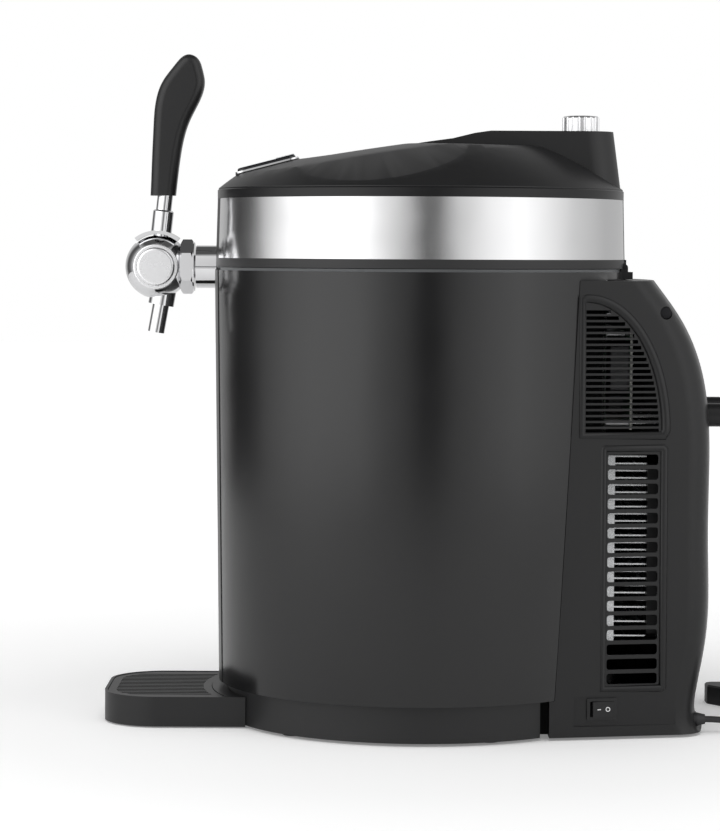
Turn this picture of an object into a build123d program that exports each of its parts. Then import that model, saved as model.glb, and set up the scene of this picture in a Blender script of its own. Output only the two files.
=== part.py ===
from build123d import *
import math
import os

# Draft beer dispenser for a 5 litre party keg. Millimetres, +Z up.
# The origin is on the floor, on the axis of the round cabinet. The tap points to -X, the
# cooling unit lies at +X, and the rocker switch is on the -Y side.

# Gaps
seat_gap = 0.05
free_gap = 0.3
pin_gap = 0.05
cone_gap = 0.15

# Cabinet drum, a drafted tub
drum_top_r = 142.7
drum_foot_r = 139.2
drum_wall = 2.5
drum_z0 = 27.0
drum_z1 = 313.0
rear_rim_h = 5.0
rear_ledge_x = 145.7
rear_ledge_half_w = 34.0
strip_half_w = 29.5
strip_inset = 1.0
strip_proud = 0.5

# Plinth, bottom cover and feet
plinth_r = 133.4
plinth_wall = 3.0
plinth_z0 = 2.0
plinth_rear_x = 80.0
plinth_top_t = 3.0
cover_t = 2.5
foot_r = 8.0
foot_spots = [(-85, -85), (-85, 85), (45, -108), (45, 108), (170, -62), (170, 62)]

# Keg chamber and insulation
chamber_r = 95.0
chamber_z0 = 43.5
liner_wall = 1.5
liner_lip_w = 8.0
liner_lip_t = 1.2
deck_top_z = 311.0
deck_t = 3.0
bulkhead_x = 124.0
bulkhead_t = 2.0

# Lid seal
seal_r = 129.0
seal_w = 4.0

# Lid
lid_z0 = 315.3
lid_foot_r = 142.6
lid_top_r = 141.3
lid_wall = 2.5
band_z0 = 321.3
band_z1 = 362.3
band_t = 0.6
rim_z1 = 368.9
rim_groove = 0.6
shell_t = 2.5
lid_strip_half_w = 29.0
rear_strip_half_w = 24.0
lid_liner_t = 2.0
lid_cup_r = 78.0
lid_cup_z1 = 352.0
lid_foam_z1 = 347.0

# Dome of the lid: flank and crown of a turned dome, cut by a crowned front slope and by a
# sloping plane on each side. The slope line runs along the middle of the lid.
dome_flank_mid = (118.0, 385.4)
dome_crest = (93.0, 398.2)
dome_crown_z = 400.8
slope_line = [(-146.0, 368.2), (-139.6, 373.2), (-134.8, 377.2), (-84.7, 390.2), (-79.1, 390.9),
              (-62.3, 393.3), (-39.9, 396.9), (-17.5, 400.2), (20.0, 405.4), (60.0, 411.0)]
display_line = (2, 3)
slope_axis_z = -130.0
side_cut_point = (-50.0, 131.8, 371.0)
side_cut_dir = (-427.0, 1192.0, 3192.0)

# Hump over the gas regulator
hump_half_w = 45.0
hump_top_z = 409.0
hump_rear_x = 132.0
hump_foot_x = 137.4
hump_corner_r = 20.0
hump_line = [(-30.0, 393.5), (-2.0, 400.4), (5.0, 401.5), (21.0, 403.7), (36.0, 407.4), (47.0, 409.0)]

# Hinge of the lid
hinge_x = 140.2
hinge_z = 315.9
hinge_pin_r = 1.5
knuckle_r = 2.6
knuckle_half_w = 19.7
ear_y0 = 20.0
ear_y1 = 30.0

# Tap
tap_z = 315.0
tap_x = -183.5
ball_r = 22.4
ball_flat_y = 17.0
neck_r = 13.5
nut_x0 = -167.0
nut_x1 = -157.4
nut_corner_r = 19.0
washer_r = 17.0
washer_t = 1.0
shank_r = 8.0
shank_bore_r = 3.5
shank_rear_x = -98.0
barb_r = 4.6
barb_end_x = -84.0
sleeve_r = 14.8
sleeve_wall = 3.0
sleeve_x0 = -156.2
sleeve_split = 0.4
spout_lean = 10.2
spout_top = (-179.3, 0.0, 298.0)
spout_collar_r = 9.0
spout_collar_l = 9.8
spout_r = 5.8
spout_bore_r = 3.5
spout_l = 29.3
spout_socket = 6.0
cap_ring_r = 15.8
cap_face_r = 13.4
cap_ring_y = 20.5
cap_face_y = 23.6

# Tap lever and grip
lever_lean = 6.2
lever_travel = 35.0
hub_r = 9.6
hub_half_w = 6.0
pivot_r = 3.0
stem_r = 5.4
stem_l = 58.0
collar_r = 7.2
collar_from = 28.5
collar_to = 39.5
saddle_t = 2.4
saddle_half_deg = 38.0
saddle_half_w = 9.0
grip_half_w = 9.5
grip_fillet = 6.0
grip_outline = [(-188.2, 364.4), (-187.2, 390.0), (-186.2, 412.0), (-184.9, 428.0), (-180.6, 442.2),
                (-171.6, 454.8), (-162.0, 462.4), (-156.2, 460.4), (-152.4, 452.4), (-150.8, 443.4),
                (-154.2, 430.6), (-161.2, 416.4), (-167.8, 389.8), (-170.8, 364.4)]

# Pressure knob, regulator and gas cartridge
knob_x = 111.5
knob_r = 13.0
knob_h = 11.5
knob_flutes = 18
knob_flute_r = 1.3
knob_gap = 0.4
knob_stem_r = 3.0
regulator_r = 13.0
regulator_z0 = 366.0
regulator_z1 = 405.0
regulator_flange_r = 16.0
spigot_z = 380.0
spigot_r = 11.0
spigot_x = 84.0
holder_r = 12.6
holder_bore_gap = 0.1
holder_x0 = 3.0
holder_x1 = 96.0
cartridge_r = 10.8
cartridge_x0 = 6.0
cartridge_l = 72.0
cartridge_neck_r = 4.5
cartridge_neck_l = 12.0
gas_line_r = 2.5
gas_line_z = 357.5
gas_line_x = 62.0
gas_coupling_z = 343.0

# Display on the front slope
display_x = -106.4
display_l = 45.0
display_half_w = 30.0
bezel_t = 1.1
glass_t = 2.2
glass_margin = 2.0
window_l = 36.0
window_half_w = 24.0
board_t = 1.6

# Rear housing of the cooling unit
housing_z0 = 2.0
housing_z1 = 307.4
housing_nose_x = 86.0
housing_half_w = 108.0
flank_draft = 0.024
flank_taper = 0.175
tail_bow = 9.0
tail_corner_r = 20.0
housing_wall = 2.5
tail_line = [(2.0, 197.6), (60.0, 199.4), (120.0, 201.0), (180.0, 201.2), (225.0, 199.2), (254.0, 192.9),
             (276.0, 183.4), (293.0, 172.4), (307.4, 161.5)]

# Upper louvre, bounded by a quarter ellipse
louvre_x0 = 109.2
louvre_z0 = 207.35
louvre_count = 21
louvre_pitch = 3.963
louvre_h = 2.5
louvre_half_l = 50.0
louvre_half_h = 84.0
panel_margin = 4.5
panel_depth = 0.8

# Lower louvre
slot_x0 = 124.7
slot_x1 = 159.1
slot_z0 = 40.7
slot_count = 16
slot_pitch = 9.8
slot_h = 7.2
slot_corner_r = 1.8
slot_frame_margin = 4.0

# Rear air intake
intake_count = 14
intake_pitch = 8.0
intake_h = 3.2
intake_half_w = 52.0
intake_z = 125.0

# Wall spacers and screw pockets
spacer_y = 45.0
spacer_z = 215.5
spacer_r = 8.0
spacer_tip_x = 218.0
pocket_spots = [(164.0, 286.0)]
pocket_r = 4.4
pocket_floor_y = 78.0
boss_r = 6.6
screw_r = 3.6
screw_head_h = 2.4

# Heat pump and fan
cooler_z = 123.5
cold_block_w = 50.0
module_w = 40.0
module_t = 4.0
sink_base_t = 5.0
sink_w = 110.0
sink_h = 129.0
fin_count = 27
fin_t = 1.0
fin_l = 21.5
fan_w = 120.0
fan_t = 25.0
fan_bore_r = 57.5
fan_hub_r = 19.0
fan_blade_r = 56.0
fan_blades = 7
fan_axle_r = 2.0
strut_w = 4.0
strut_t = 2.6

# Power board
board_x = 143.2
board_half_w = 48.0
board_z0 = 205.0
board_z1 = 290.0
standoff_r = 3.0

# Rocker switch
switch_x = 121.8
switch_z = 20.7
switch_recess_x0 = 102.4
switch_recess_x1 = 173.0
switch_recess_z = 19.15
switch_recess_h = 20.1
switch_recess_depth = 1.4
switch_bezel_l = 20.7
switch_bezel_h = 14.8
switch_bezel_t = 1.2
switch_wall = 1.2
switch_depth = 12.0
key_l = 14.8
key_h = 10.2
key_pivot_depth = 2.5
key_pin_r = 1.0
key_pin_half_l = 5.9
key_tilt = 7.0

# Drip tray and grille
tray_front_x = -218.0
tray_half_w = 62.0
tray_corner_r = 38.0
tray_z0 = 1.0
tray_z1 = 21.5
tray_wall = 2.0
tray_gap = 0.6
tray_deck_r = 144.4
grille_t = 2.0
grille_gap = 0.4
grille_slot_w = 3.4
grille_slot_pitch = 6.6
grille_slot_count = 15
grille_edge = 6.0
tongue_w = 8.0
tongue_t = 3.0
tongue_l = 9.0
tongue_y = 40.0
tongue_z = 9.0

# Power cord, coil and plug
cord_d = 4.4
cord_exit = (194.5, -70.0, 9.4)
lead_corners = [(205.0, -70.0, 9.4), (221.0, -70.9, 6.4), (240.0, -73.2, 3.8), (259.0, -74.5, 3.1)]
coil_centre = (279.0, -42.0)
coil_pitch = 5.0
coil_start_r = 32.5
coil_outer_r = 27.5
coil_inner_r = 20.0
coil_lift = 0.9
tail_steps = [(-12.0, 0.0, 0.0), (-15.0, 4.0, -2.9), (-12.0, 11.0, -4.0), (-6.0, 15.0, -3.2),
              (-1.0, 15.0, -1.15), (0.0, 13.0, 0.0)]
relief_l = 24.0
relief_nose_l = 5.5
relief_r0 = 4.6
relief_r1 = 3.3
tie_w = 7.0
tie_t = 0.8
tie_gap = 0.25
tie_inner_gap = 2.8
plug_l = 36.0
plug_w = 35.0
plug_h = 13.7
plug_waist_w = 13.0
plug_head_l = 17.0
plug_pin_r = 2.0
plug_pin_l = 19.0
plug_pin_gap = 18.6

parts = {}


def slab(x0, x1, y0, y1, z0, z1):
    centre = Pos((x0 + x1) / 2, (y0 + y1) / 2, (z0 + z1) / 2)
    return centre * Box(x1 - x0, y1 - y0, z1 - z0)


def rod(start, end, radius):
    axis = Vector(*end) - Vector(*start)
    bottom = (Align.CENTER, Align.CENTER, Align.MIN)
    return Plane(origin=start, z_dir=axis) * Cylinder(radius, axis.length, align=bottom)


def disc(radius, z0, z1, x=0.0, y=0.0):
    return rod((x, y, z0), (x, y, z1), radius)


def ring(inner_r, outer_r, z0, z1):
    return disc(outer_r, z0, z1) - disc(inner_r, z0 - 1, z1 + 1)


def turned(outline, axis=Axis.Z):
    """Solid of revolution of an outline given as (radius, height) about the Z axis."""
    points = [(radius, 0, height) for radius, height in outline]
    return revolve(make_face(Polyline(*points, close=True)), axis, 360)


def prism_y(outline, half_width):
    """Outline of (x, z) points, extruded to both sides of the XZ plane."""
    points = [(x, 0, z) for x, z in outline]
    return extrude(make_face(Polyline(*points, close=True)), amount=half_width, dir=(0, 1, 0), both=True)


def drum_radius(z):
    share = (z - drum_z0) / (drum_z1 - drum_z0)
    return drum_foot_r + (drum_top_r - drum_foot_r) * share


def drum_core(offset, z0, z1):
    """Everything inside the drum's outer face, moved out by offset."""
    r0 = drum_radius(z0) + offset
    r1 = drum_radius(z1) + offset
    return turned([(0, z0), (r0, z0), (r1, z1), (0, z1)])


def lid_radius(z):
    share = (z - lid_z0) / (band_z1 - lid_z0)
    return lid_foot_r + (lid_top_r - lid_foot_r) * share


def lid_core(offset, z0, z1):
    r0 = lid_radius(z0) + offset
    r1 = lid_radius(z1) + offset
    return turned([(0, z0), (r0, z0), (r1, z1), (0, z1)])


# Cabinet
shank_way_r = shank_r + free_gap
shank_way = rod((-160, 0, tap_z), (-60, 0, tap_z), shank_way_r)
front_side = slab(-200, 0, -strip_half_w, strip_half_w, 0, 500)
hinge_room = slab(hinge_x - knuckle_r - 0.4, 200, -ear_y1 - 0.4, ear_y1 + 0.4, 300, band_z0 + 0.4)


def make_drum_shell():
    shell = drum_core(0, drum_z0, drum_z1) - drum_core(-drum_wall, drum_z0 - 1, drum_z1 + 1)
    shell -= slab(bulkhead_x, 200, -100, 100, drum_z0 + plinth_top_t, drum_z1 - rear_rim_h)
    recess = drum_core(1, drum_z0 - 1, drum_z1 + 1) - drum_core(-strip_inset, drum_z0 - 2, drum_z1 + 2)
    shell -= recess & slab(-200, 0, -strip_half_w - seat_gap, strip_half_w + seat_gap, 0, 500)
    ear_web = slab(hinge_x - knuckle_r, hinge_x + knuckle_r, ear_y0, ear_y1, drum_z1 - rear_rim_h, hinge_z)
    ear_eye = rod((hinge_x, ear_y0, hinge_z), (hinge_x, ear_y1, hinge_z), knuckle_r)
    ear = ear_web + ear_eye
    ledge = slab(130, rear_ledge_x, -rear_ledge_half_w, rear_ledge_half_w, drum_z1 - rear_rim_h, drum_z1)
    ledge -= drum_core(-drum_wall, 300, drum_z1 + 1)
    shell += [ear, ear.mirror(Plane.XZ), ledge]
    shell -= rod((hinge_x, -ear_y1 - 1, hinge_z), (hinge_x, ear_y1 + 1, hinge_z), hinge_pin_r)
    return shell - shank_way


def make_front_strip():
    strip = drum_core(strip_proud, drum_z0, drum_z1) - drum_core(seat_gap - strip_inset, 20, 320)
    return (strip & front_side) - shank_way


def make_plinth():
    skirt = disc(plinth_r, plinth_z0, drum_z0) - disc(plinth_r - plinth_wall, plinth_z0 - 1, drum_z0)
    skirt &= slab(-200, plinth_rear_x, -200, 200, 0, 50)
    rear_wall = slab(plinth_rear_x - plinth_wall, plinth_rear_x, -100, 100, plinth_z0, drum_z0)
    top = drum_core(-drum_wall - cone_gap, drum_z0, drum_z0 + plinth_top_t)
    plinth = skirt + (rear_wall & disc(plinth_r, 0, 50)) + top
    for side in (-1, 1):
        y = side * tongue_y
        root_x = -math.sqrt(plinth_r ** 2 - tongue_y ** 2)
        plinth += slab(root_x - tongue_l, root_x + plinth_wall, y - tongue_w / 2, y + tongue_w / 2,
                       tongue_z, tongue_z + tongue_t)
    return plinth


def make_bottom_cover():
    cover = disc(plinth_r - plinth_wall - seat_gap, plinth_z0, plinth_z0 + cover_t)
    return cover & slab(-200, plinth_rear_x - plinth_wall - seat_gap, -200, 200, 0, 50)


def make_feet():
    foot = chamfer(disc(foot_r, 0, plinth_z0).edges().group_by(Axis.Z)[0], 0.6)
    return Compound(children=[Pos(x, y, 0) * foot for x, y in foot_spots])


def make_chamber_liner():
    outer_r = chamber_r + liner_wall
    lip_r = chamber_r + liner_lip_w
    lip_z = deck_top_z + liner_lip_t
    liner = turned([(0, chamber_z0 - liner_wall), (outer_r, chamber_z0 - liner_wall), (outer_r, deck_top_z),
                    (lip_r, deck_top_z), (lip_r, lip_z), (chamber_r, lip_z), (chamber_r, chamber_z0),
                    (0, chamber_z0)])
    return liner - shank_way


def make_top_deck():
    outer_r = drum_radius(deck_top_z - deck_t) - drum_wall - cone_gap
    inner_r = chamber_r + liner_wall + seat_gap
    deck = ring(inner_r, outer_r, deck_top_z - deck_t, deck_top_z)
    deck += ring(outer_r - liner_wall, outer_r, deck_top_z, lid_z0 - free_gap - 0.1)
    trough = rod((-outer_r + 1, 0, tap_z), (-inner_r - 1, 0, tap_z), shank_way_r + liner_wall)
    deck += trough & slab(-outer_r, -inner_r, -50, 50, 300, deck_top_z)
    return deck - hinge_room - shank_way


def make_insulation():
    z0 = drum_z0 + plinth_top_t
    z1 = deck_top_z - deck_t - seat_gap
    foam = drum_core(-drum_wall - cone_gap, z0 + seat_gap, z1)
    foam -= disc(chamber_r + liner_wall + seat_gap, chamber_z0 - liner_wall, z1 + 1)
    foam &= slab(-200, bulkhead_x - seat_gap, -200, 200, 0, 400)
    foam -= rod((-160, 0, tap_z), (-60, 0, tap_z), shank_way_r + liner_wall + seat_gap)
    half = cold_block_w / 2 + seat_gap
    return foam - slab(chamber_r - 20, 200, -half, half, cooler_z - half, cooler_z + half)


def make_bulkhead():
    z0 = drum_z0 + plinth_top_t + seat_gap
    z1 = drum_z1 - rear_rim_h - seat_gap
    half = module_w / 2 + 1
    plate = slab(bulkhead_x, bulkhead_x + bulkhead_t, -100, 100, z0, z1)
    plate &= drum_core(-drum_wall - cone_gap, z0 - 1, z1 + 1)
    return plate - slab(0, 200, -half, half, cooler_z - half, cooler_z + half)


def make_seal():
    seal = ring(seal_r - seal_w / 2, seal_r + seal_w / 2, deck_top_z, lid_z0 - free_gap)
    return seal - shank_way


# Cooling unit
module_x = bulkhead_x + bulkhead_t + 2 - module_t
sink_x = module_x + module_t
fan_x = sink_x + sink_base_t + fin_l + free_gap


def make_cold_block():
    half = cold_block_w / 2
    block = slab(chamber_r - 10, module_x, -half, half, cooler_z - half, cooler_z + half)
    return block - disc(chamber_r + liner_wall + cone_gap, 0, 400)


def make_module():
    half = module_w / 2
    return slab(module_x, sink_x, -half, half, cooler_z - half, cooler_z + half)


def make_heat_sink():
    z0 = cooler_z - sink_h / 2
    half = sink_w / 2
    sink = slab(sink_x, sink_x + sink_base_t, -half, half, z0, z0 + sink_h)
    pitch = (sink_h - fin_t) / (fin_count - 1)
    fins = []
    for index in range(fin_count):
        z = z0 + index * pitch
        fins.append(slab(sink_x + sink_base_t, sink_x + sink_base_t + fin_l, -half, half, z, z + fin_t))
    return sink + fins


def make_fan_frame():
    half = fan_w / 2
    frame = slab(fan_x, fan_x + fan_t, -half, half, cooler_z - half, cooler_z + half)
    frame = fillet(frame.edges().filter_by(Axis.X), 5)
    frame -= rod((fan_x - 1, 0, cooler_z), (fan_x + fan_t + 1, 0, cooler_z), fan_bore_r)
    hub = rod((fan_x, 0, cooler_z), (fan_x + strut_t, 0, cooler_z), fan_hub_r - 1)
    for turn in range(4):
        arm = slab(fan_x, fan_x + strut_t, 0, fan_bore_r + 1, -strut_w / 2, strut_w / 2)
        hub += Pos(0, 0, cooler_z) * Rot(45 + 90 * turn, 0, 0) * arm
    frame += hub
    return frame - rod((fan_x - 1, 0, cooler_z), (fan_x + fan_t, 0, cooler_z), fan_axle_r + pin_gap)


def make_fan_rotor():
    hub_x0 = fan_x + strut_t + 1
    hub_x1 = fan_x + fan_t - 2
    rotor = rod((hub_x0, 0, 0), (hub_x1, 0, 0), fan_hub_r)
    rotor += rod((fan_x, 0, 0), (hub_x0 + 1, 0, 0), fan_axle_r)
    middle = (hub_x0 + hub_x1) / 2
    blade_chord = hub_x1 - hub_x0 - 3
    blades = []
    for index in range(fan_blades):
        root = Plane(origin=(middle, 0, fan_hub_r - 2), z_dir=(0, 0, 1)) * Rot(0, 0, 40)
        tip = Plane(origin=(middle, 0, fan_blade_r), z_dir=(0, 0, 1)) * Rot(0, 0, 62)
        blade = loft([root * Rectangle(blade_chord, 1.6), tip * Rectangle(blade_chord, 1.2)])
        blades.append(Rot(360 / fan_blades * index, 0, 0) * blade)
    return Pos(0, 0, cooler_z) * (rotor + blades)


def make_power_board():
    back = board_x + board_t
    board = slab(board_x, back, -board_half_w, board_half_w, board_z0, board_z1)
    board += slab(board_x - 13, board_x, -42, -18, 232, 262)
    board += slab(board_x - 10, board_x, 6, 30, 214, 226)
    for y, z in ((-8, 270), (6, 270), (20, 270)):
        board += rod((board_x - 14, y, z), (board_x, y, z), 6)
    for level in range(3):
        board += slab(back, back + 18, -44, 0, 209.0 + 4.6 * level, 210.2 + 4.6 * level)
    return board


def make_standoffs():
    posts = []
    for y in (-board_half_w + 6, board_half_w - 6):
        for z in (board_z0 + 5, board_z1 - 5):
            posts.append(rod((bulkhead_x + bulkhead_t, y, z), (board_x, y, z), standoff_r))
    return Compound(children=posts)


# Rear housing
def housing_solid(inset):
    """The housing's outer form, with its sides moved in by inset."""
    sections = []
    for z, tail_x in tail_line:
        half = housing_half_w - flank_draft * (z - housing_z0) - inset
        nose = housing_nose_x + inset
        tail = tail_x - inset
        tail_half = half - flank_taper * (tail_x - housing_nose_x)
        corner_x = tail - tail_bow
        edges = [Line((nose, half), (corner_x, tail_half)),
                 ThreePointArc((corner_x, tail_half), (tail, 0), (corner_x, -tail_half)),
                 Line((corner_x, -tail_half), (nose, -half)),
                 Line((nose, -half), (nose, half))]
        face = make_face(edges)
        face = fillet(face.vertices().group_by(Axis.X)[-1], tail_corner_r - inset)
        sections.append(Pos(0, 0, z) * face)
    return loft(sections)


def flank_y(x, z):
    return housing_half_w - flank_draft * (z - housing_z0) - flank_taper * (x - housing_nose_x)


def louvre_length(level):
    share = level * louvre_pitch / louvre_half_h
    return louvre_half_l * math.sqrt(1 - share ** 2)


flank_angle = math.degrees(math.atan(flank_taper))
switch_plane = Plane(origin=(switch_x, -flank_y(switch_x, switch_z), switch_z),
                     x_dir=(math.cos(math.radians(flank_angle)), math.sin(math.radians(flank_angle)), 0),
                     z_dir=(math.sin(math.radians(flank_angle)), -math.cos(math.radians(flank_angle)), 0))


def make_rear_housing():
    outer = housing_solid(0)
    outer_top = drum_z0 - seat_gap - 0.15
    spacers = []
    for side in (-1, 1):
        peg = rod((185, side * spacer_y, spacer_z), (spacer_tip_x, side * spacer_y, spacer_z), spacer_r)
        spacers.append(fillet(peg.edges().group_by(Axis.X)[-1], 2.5))
    inner = housing_solid(housing_wall)
    inner &= slab(0, 300, -200, 200, housing_z0 + housing_wall, housing_z1 - housing_wall)
    inner -= drum_core(0.2, outer_top - housing_wall, drum_z1)
    body = outer + spacers - drum_core(0.2, outer_top, drum_z1) - inner
    for x, z in pocket_spots:
        bosses = rod((x, -120, z), (x, -60, z), boss_r) + rod((x, 60, z), (x, 120, z), boss_r)
        body += bosses & outer
        body -= rod((x, -140, z), (x, -pocket_floor_y, z), pocket_r)
        body -= rod((x, pocket_floor_y, z), (x, 140, z), pocket_r)
    core = housing_solid(panel_depth)
    region = Ellipse(louvre_half_l + panel_margin, louvre_half_h + panel_margin)
    region &= Pos(100, 100) * Rectangle(200, 200)
    upper_panel = extrude(Plane.XZ * Pos(louvre_x0, louvre_z0) * region, amount=130, both=True)
    upper_panel += slab(louvre_x0 - panel_margin, louvre_x0, -130, 130, louvre_z0 - panel_margin,
                        louvre_z0 + louvre_half_h + panel_margin)
    upper_panel += slab(louvre_x0, louvre_x0 + louvre_half_l + panel_margin, -130, 130,
                        louvre_z0 - panel_margin, louvre_z0)
    lower_panel = slab(slot_x0 - slot_frame_margin, slot_x1 + slot_frame_margin, -130, 130,
                       slot_z0 - slot_h, slot_z0 + slot_pitch * (slot_count - 1) + slot_h)
    body -= (upper_panel + lower_panel) - core
    cuts = []
    for level in range(louvre_count):
        z = louvre_z0 + level * louvre_pitch
        cuts.append(slab(louvre_x0, louvre_x0 + louvre_length(level), -130, 130, z - louvre_h / 2,
                         z + louvre_h / 2))
    slot = RectangleRounded(slot_x1 - slot_x0, slot_h, slot_corner_r)
    for level in range(slot_count):
        place = Plane.XZ * Pos((slot_x0 + slot_x1) / 2, slot_z0 + level * slot_pitch)
        cuts.append(extrude(place * slot, amount=130, both=True))
    for level in range(intake_count):
        z = intake_z + (level - (intake_count - 1) / 2) * intake_pitch
        cuts.append(slab(185, 210, -intake_half_w, intake_half_w, z - intake_h / 2, z + intake_h / 2))
    body -= cuts
    recess_l = switch_recess_x1 - switch_recess_x0
    recess_x = (switch_recess_x0 + switch_recess_x1) / 2 - switch_x
    recess_y = switch_recess_z - switch_z
    recess_place = switch_plane * Pos(recess_x, recess_y, 5 - switch_recess_depth)
    body -= recess_place * Box(recess_l, switch_recess_h, 10)
    body -= switch_plane * Box(switch_bezel_l - 1.6, switch_bezel_h - 1.6, 20)
    relief_way = rod((150, cord_exit[1], cord_exit[2]), (220, cord_exit[1], cord_exit[2]),
                     relief_r0 + seat_gap)
    return body - relief_way


def make_housing_screws():
    heads = []
    for x, z in pocket_spots:
        for side in (-1, 1):
            y = side * pocket_floor_y
            heads.append(rod((x, y, z), (x, y + side * screw_head_h, z), screw_r))
    return Compound(children=heads)


def make_switch_bezel():
    floor = -switch_recess_depth + seat_gap
    frame = Pos(0, 0, floor) * extrude(RectangleRounded(switch_bezel_l, switch_bezel_h, 0.8), switch_bezel_t)
    case_l = switch_bezel_l - 2
    case_h = switch_bezel_h - 2
    case = Pos(0, 0, floor - switch_depth / 2) * Box(case_l, case_h, switch_depth)
    well = Pos(0, 0, floor - switch_depth / 2 + switch_wall) * Box(
        case_l - 2 * switch_wall, case_h - 2 * switch_wall, switch_depth + 2)
    bezel = frame + case - well
    pivot_z = switch_bezel_t - switch_recess_depth - key_pivot_depth
    reach = switch_bezel_h / 2
    return switch_plane * (bezel - rod((0, -reach, pivot_z), (0, reach, pivot_z), key_pin_r + pin_gap))


def make_switch_key():
    half = key_l / 2
    outline = Polyline((-half, 1.9), (0, 1.0), (half, 1.9), (half, -1.6), (0, -5.5), (-half, -1.6), close=True)
    key = extrude(Plane.XZ * make_face(outline), amount=key_h / 2, both=True)
    key += rod((0, -key_pin_half_l, -key_pivot_depth), (0, key_pin_half_l, -key_pivot_depth), key_pin_r)
    pivot = Pos(0, 0, -key_pivot_depth)
    tilted = pivot * Rot(0, key_tilt, 0) * Pos(0, 0, key_pivot_depth) * key
    return switch_plane * Pos(0, 0, -switch_recess_depth + switch_bezel_t) * tilted


# Tap
def lever_slot():
    """Room that the stem sweeps from its rest position to its foremost one, as (x, z) points."""
    back = math.radians(-lever_lean)
    front = math.radians(lever_travel - lever_lean)
    reach = stem_r + free_gap
    points = [(tap_x, tap_z)]
    for turn, side, far in ((back, 1, 0), (back, 1, 60), (front, -1, 60), (front, -1, 0)):
        x = tap_x - far * math.sin(turn) + side * reach * math.cos(turn)
        z = tap_z + far * math.cos(turn) + side * reach * math.sin(turn)
        points.append((x, z))
    return points


def make_tap_body():
    body = Pos(tap_x, 0, tap_z) * Sphere(ball_r)
    body &= slab(tap_x - 50, tap_x + 50, -ball_flat_y, ball_flat_y, tap_z - 50, tap_z + 50)
    body += rod((tap_x, 0, tap_z), (nut_x0, 0, tap_z), neck_r)
    body &= slab(tap_x - 50, nut_x0 - seat_gap, -50, 50, tap_z - 50, tap_z + 50)
    lean = math.radians(spout_lean)
    spout_dir = Vector(-math.sin(lean), 0, -math.cos(lean))
    top = Vector(*spout_top)
    collar_end = top + spout_dir * spout_collar_l
    body += rod(tuple(top), tuple(collar_end), spout_collar_r)
    body -= rod(tuple(collar_end - spout_dir * spout_socket), tuple(collar_end + spout_dir),
                spout_r + seat_gap)
    body -= rod(tuple(top), tuple(collar_end), spout_bore_r)
    cavity_half = hub_half_w + free_gap
    body -= rod((tap_x, -cavity_half, tap_z), (tap_x, cavity_half, tap_z), hub_r + 0.4)
    body -= prism_y(lever_slot(), cavity_half)
    body -= rod((tap_x, -30, tap_z), (tap_x, 30, tap_z), pivot_r + pin_gap)
    body -= rod((tap_x + hub_r, 0, tap_z), (nut_x0, 0, tap_z), shank_bore_r)
    return body


def make_tap_caps():
    caps = []
    for side in (-1, 1):
        base = side * (ball_flat_y + seat_gap)
        cap = rod((tap_x, base, tap_z), (tap_x, side * cap_ring_y, tap_z), cap_ring_r)
        cap = fillet(cap.edges().sort_by(Axis.Y)[-1 if side > 0 else 0], 1.2)
        face = rod((tap_x, side * (cap_ring_y - 1), tap_z), (tap_x, side * cap_face_y, tap_z), cap_face_r)
        face = fillet(face.edges().sort_by(Axis.Y)[-1 if side > 0 else 0], 2.2)
        caps.append(cap + face)
    return Compound(children=caps)


def make_tap_nut():
    hexagon = RegularPolygon(nut_corner_r, 6)
    nut = extrude(Plane.YZ * Rot(0, 0, 90) * hexagon, amount=nut_x1 - nut_x0 - washer_t)
    nut = Pos(nut_x0, 0, tap_z) * nut
    cone_r = nut_corner_r + 0.2
    trim = Pos(nut_x0, 0, tap_z) * Rot(0, 90, 0) * turned(
        [(0, 0), (cone_r - 2.6, 0), (cone_r, 1.6), (cone_r, 7.4), (cone_r - 1.6, 8.6), (0, 8.6)])
    nut &= trim
    nut += rod((nut_x1 - washer_t, 0, tap_z), (nut_x1, 0, tap_z), washer_r)
    return nut - rod((nut_x0 - 1, 0, tap_z), (nut_x1 + 1, 0, tap_z), shank_r + seat_gap)


def make_tap_shank():
    shank = rod((nut_x0, 0, tap_z), (shank_rear_x, 0, tap_z), shank_r)
    shank += rod((shank_rear_x, 0, tap_z), (barb_end_x, 0, tap_z), barb_r - 1)
    for step in range(3):
        x = shank_rear_x + 3 + 4 * step
        tooth = turned([(0, 0), (barb_r, 0), (barb_r - 1, 3), (0, 3)])
        shank += Pos(x, 0, tap_z) * Rot(0, 90, 0) * tooth
    return shank - rod((nut_x0 - 1, 0, tap_z), (barb_end_x + 1, 0, tap_z), shank_bore_r - 1)


def half_sleeve(upper):
    sleeve = rod((sleeve_x0, 0, tap_z), (-100, 0, tap_z), sleeve_r)
    sleeve -= rod((-170, 0, tap_z), (-90, 0, tap_z), shank_way_r)
    if upper:
        sleeve &= slab(-200, 0, -50, 50, tap_z + sleeve_split, 400)
        return sleeve - lid_core(free_gap / 6, lid_z0, band_z1)
    sleeve &= slab(-200, 0, -50, 50, 200, tap_z - sleeve_split)
    sleeve -= drum_core(strip_proud + seat_gap, drum_z0, drum_z1)
    return sleeve & slab(-200, -drum_top_r + 1, -50, 50, 200, 400)


def make_spout():
    lean = math.radians(spout_lean)
    spout_dir = Vector(-math.sin(lean), 0, -math.cos(lean))
    start = Vector(*spout_top) + spout_dir * (spout_collar_l - spout_socket + seat_gap)
    end = Vector(*spout_top) + spout_dir * spout_l
    spout = rod(tuple(start), tuple(end), spout_r)
    return spout - rod(tuple(start - spout_dir), tuple(end + spout_dir), spout_bore_r)


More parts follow.
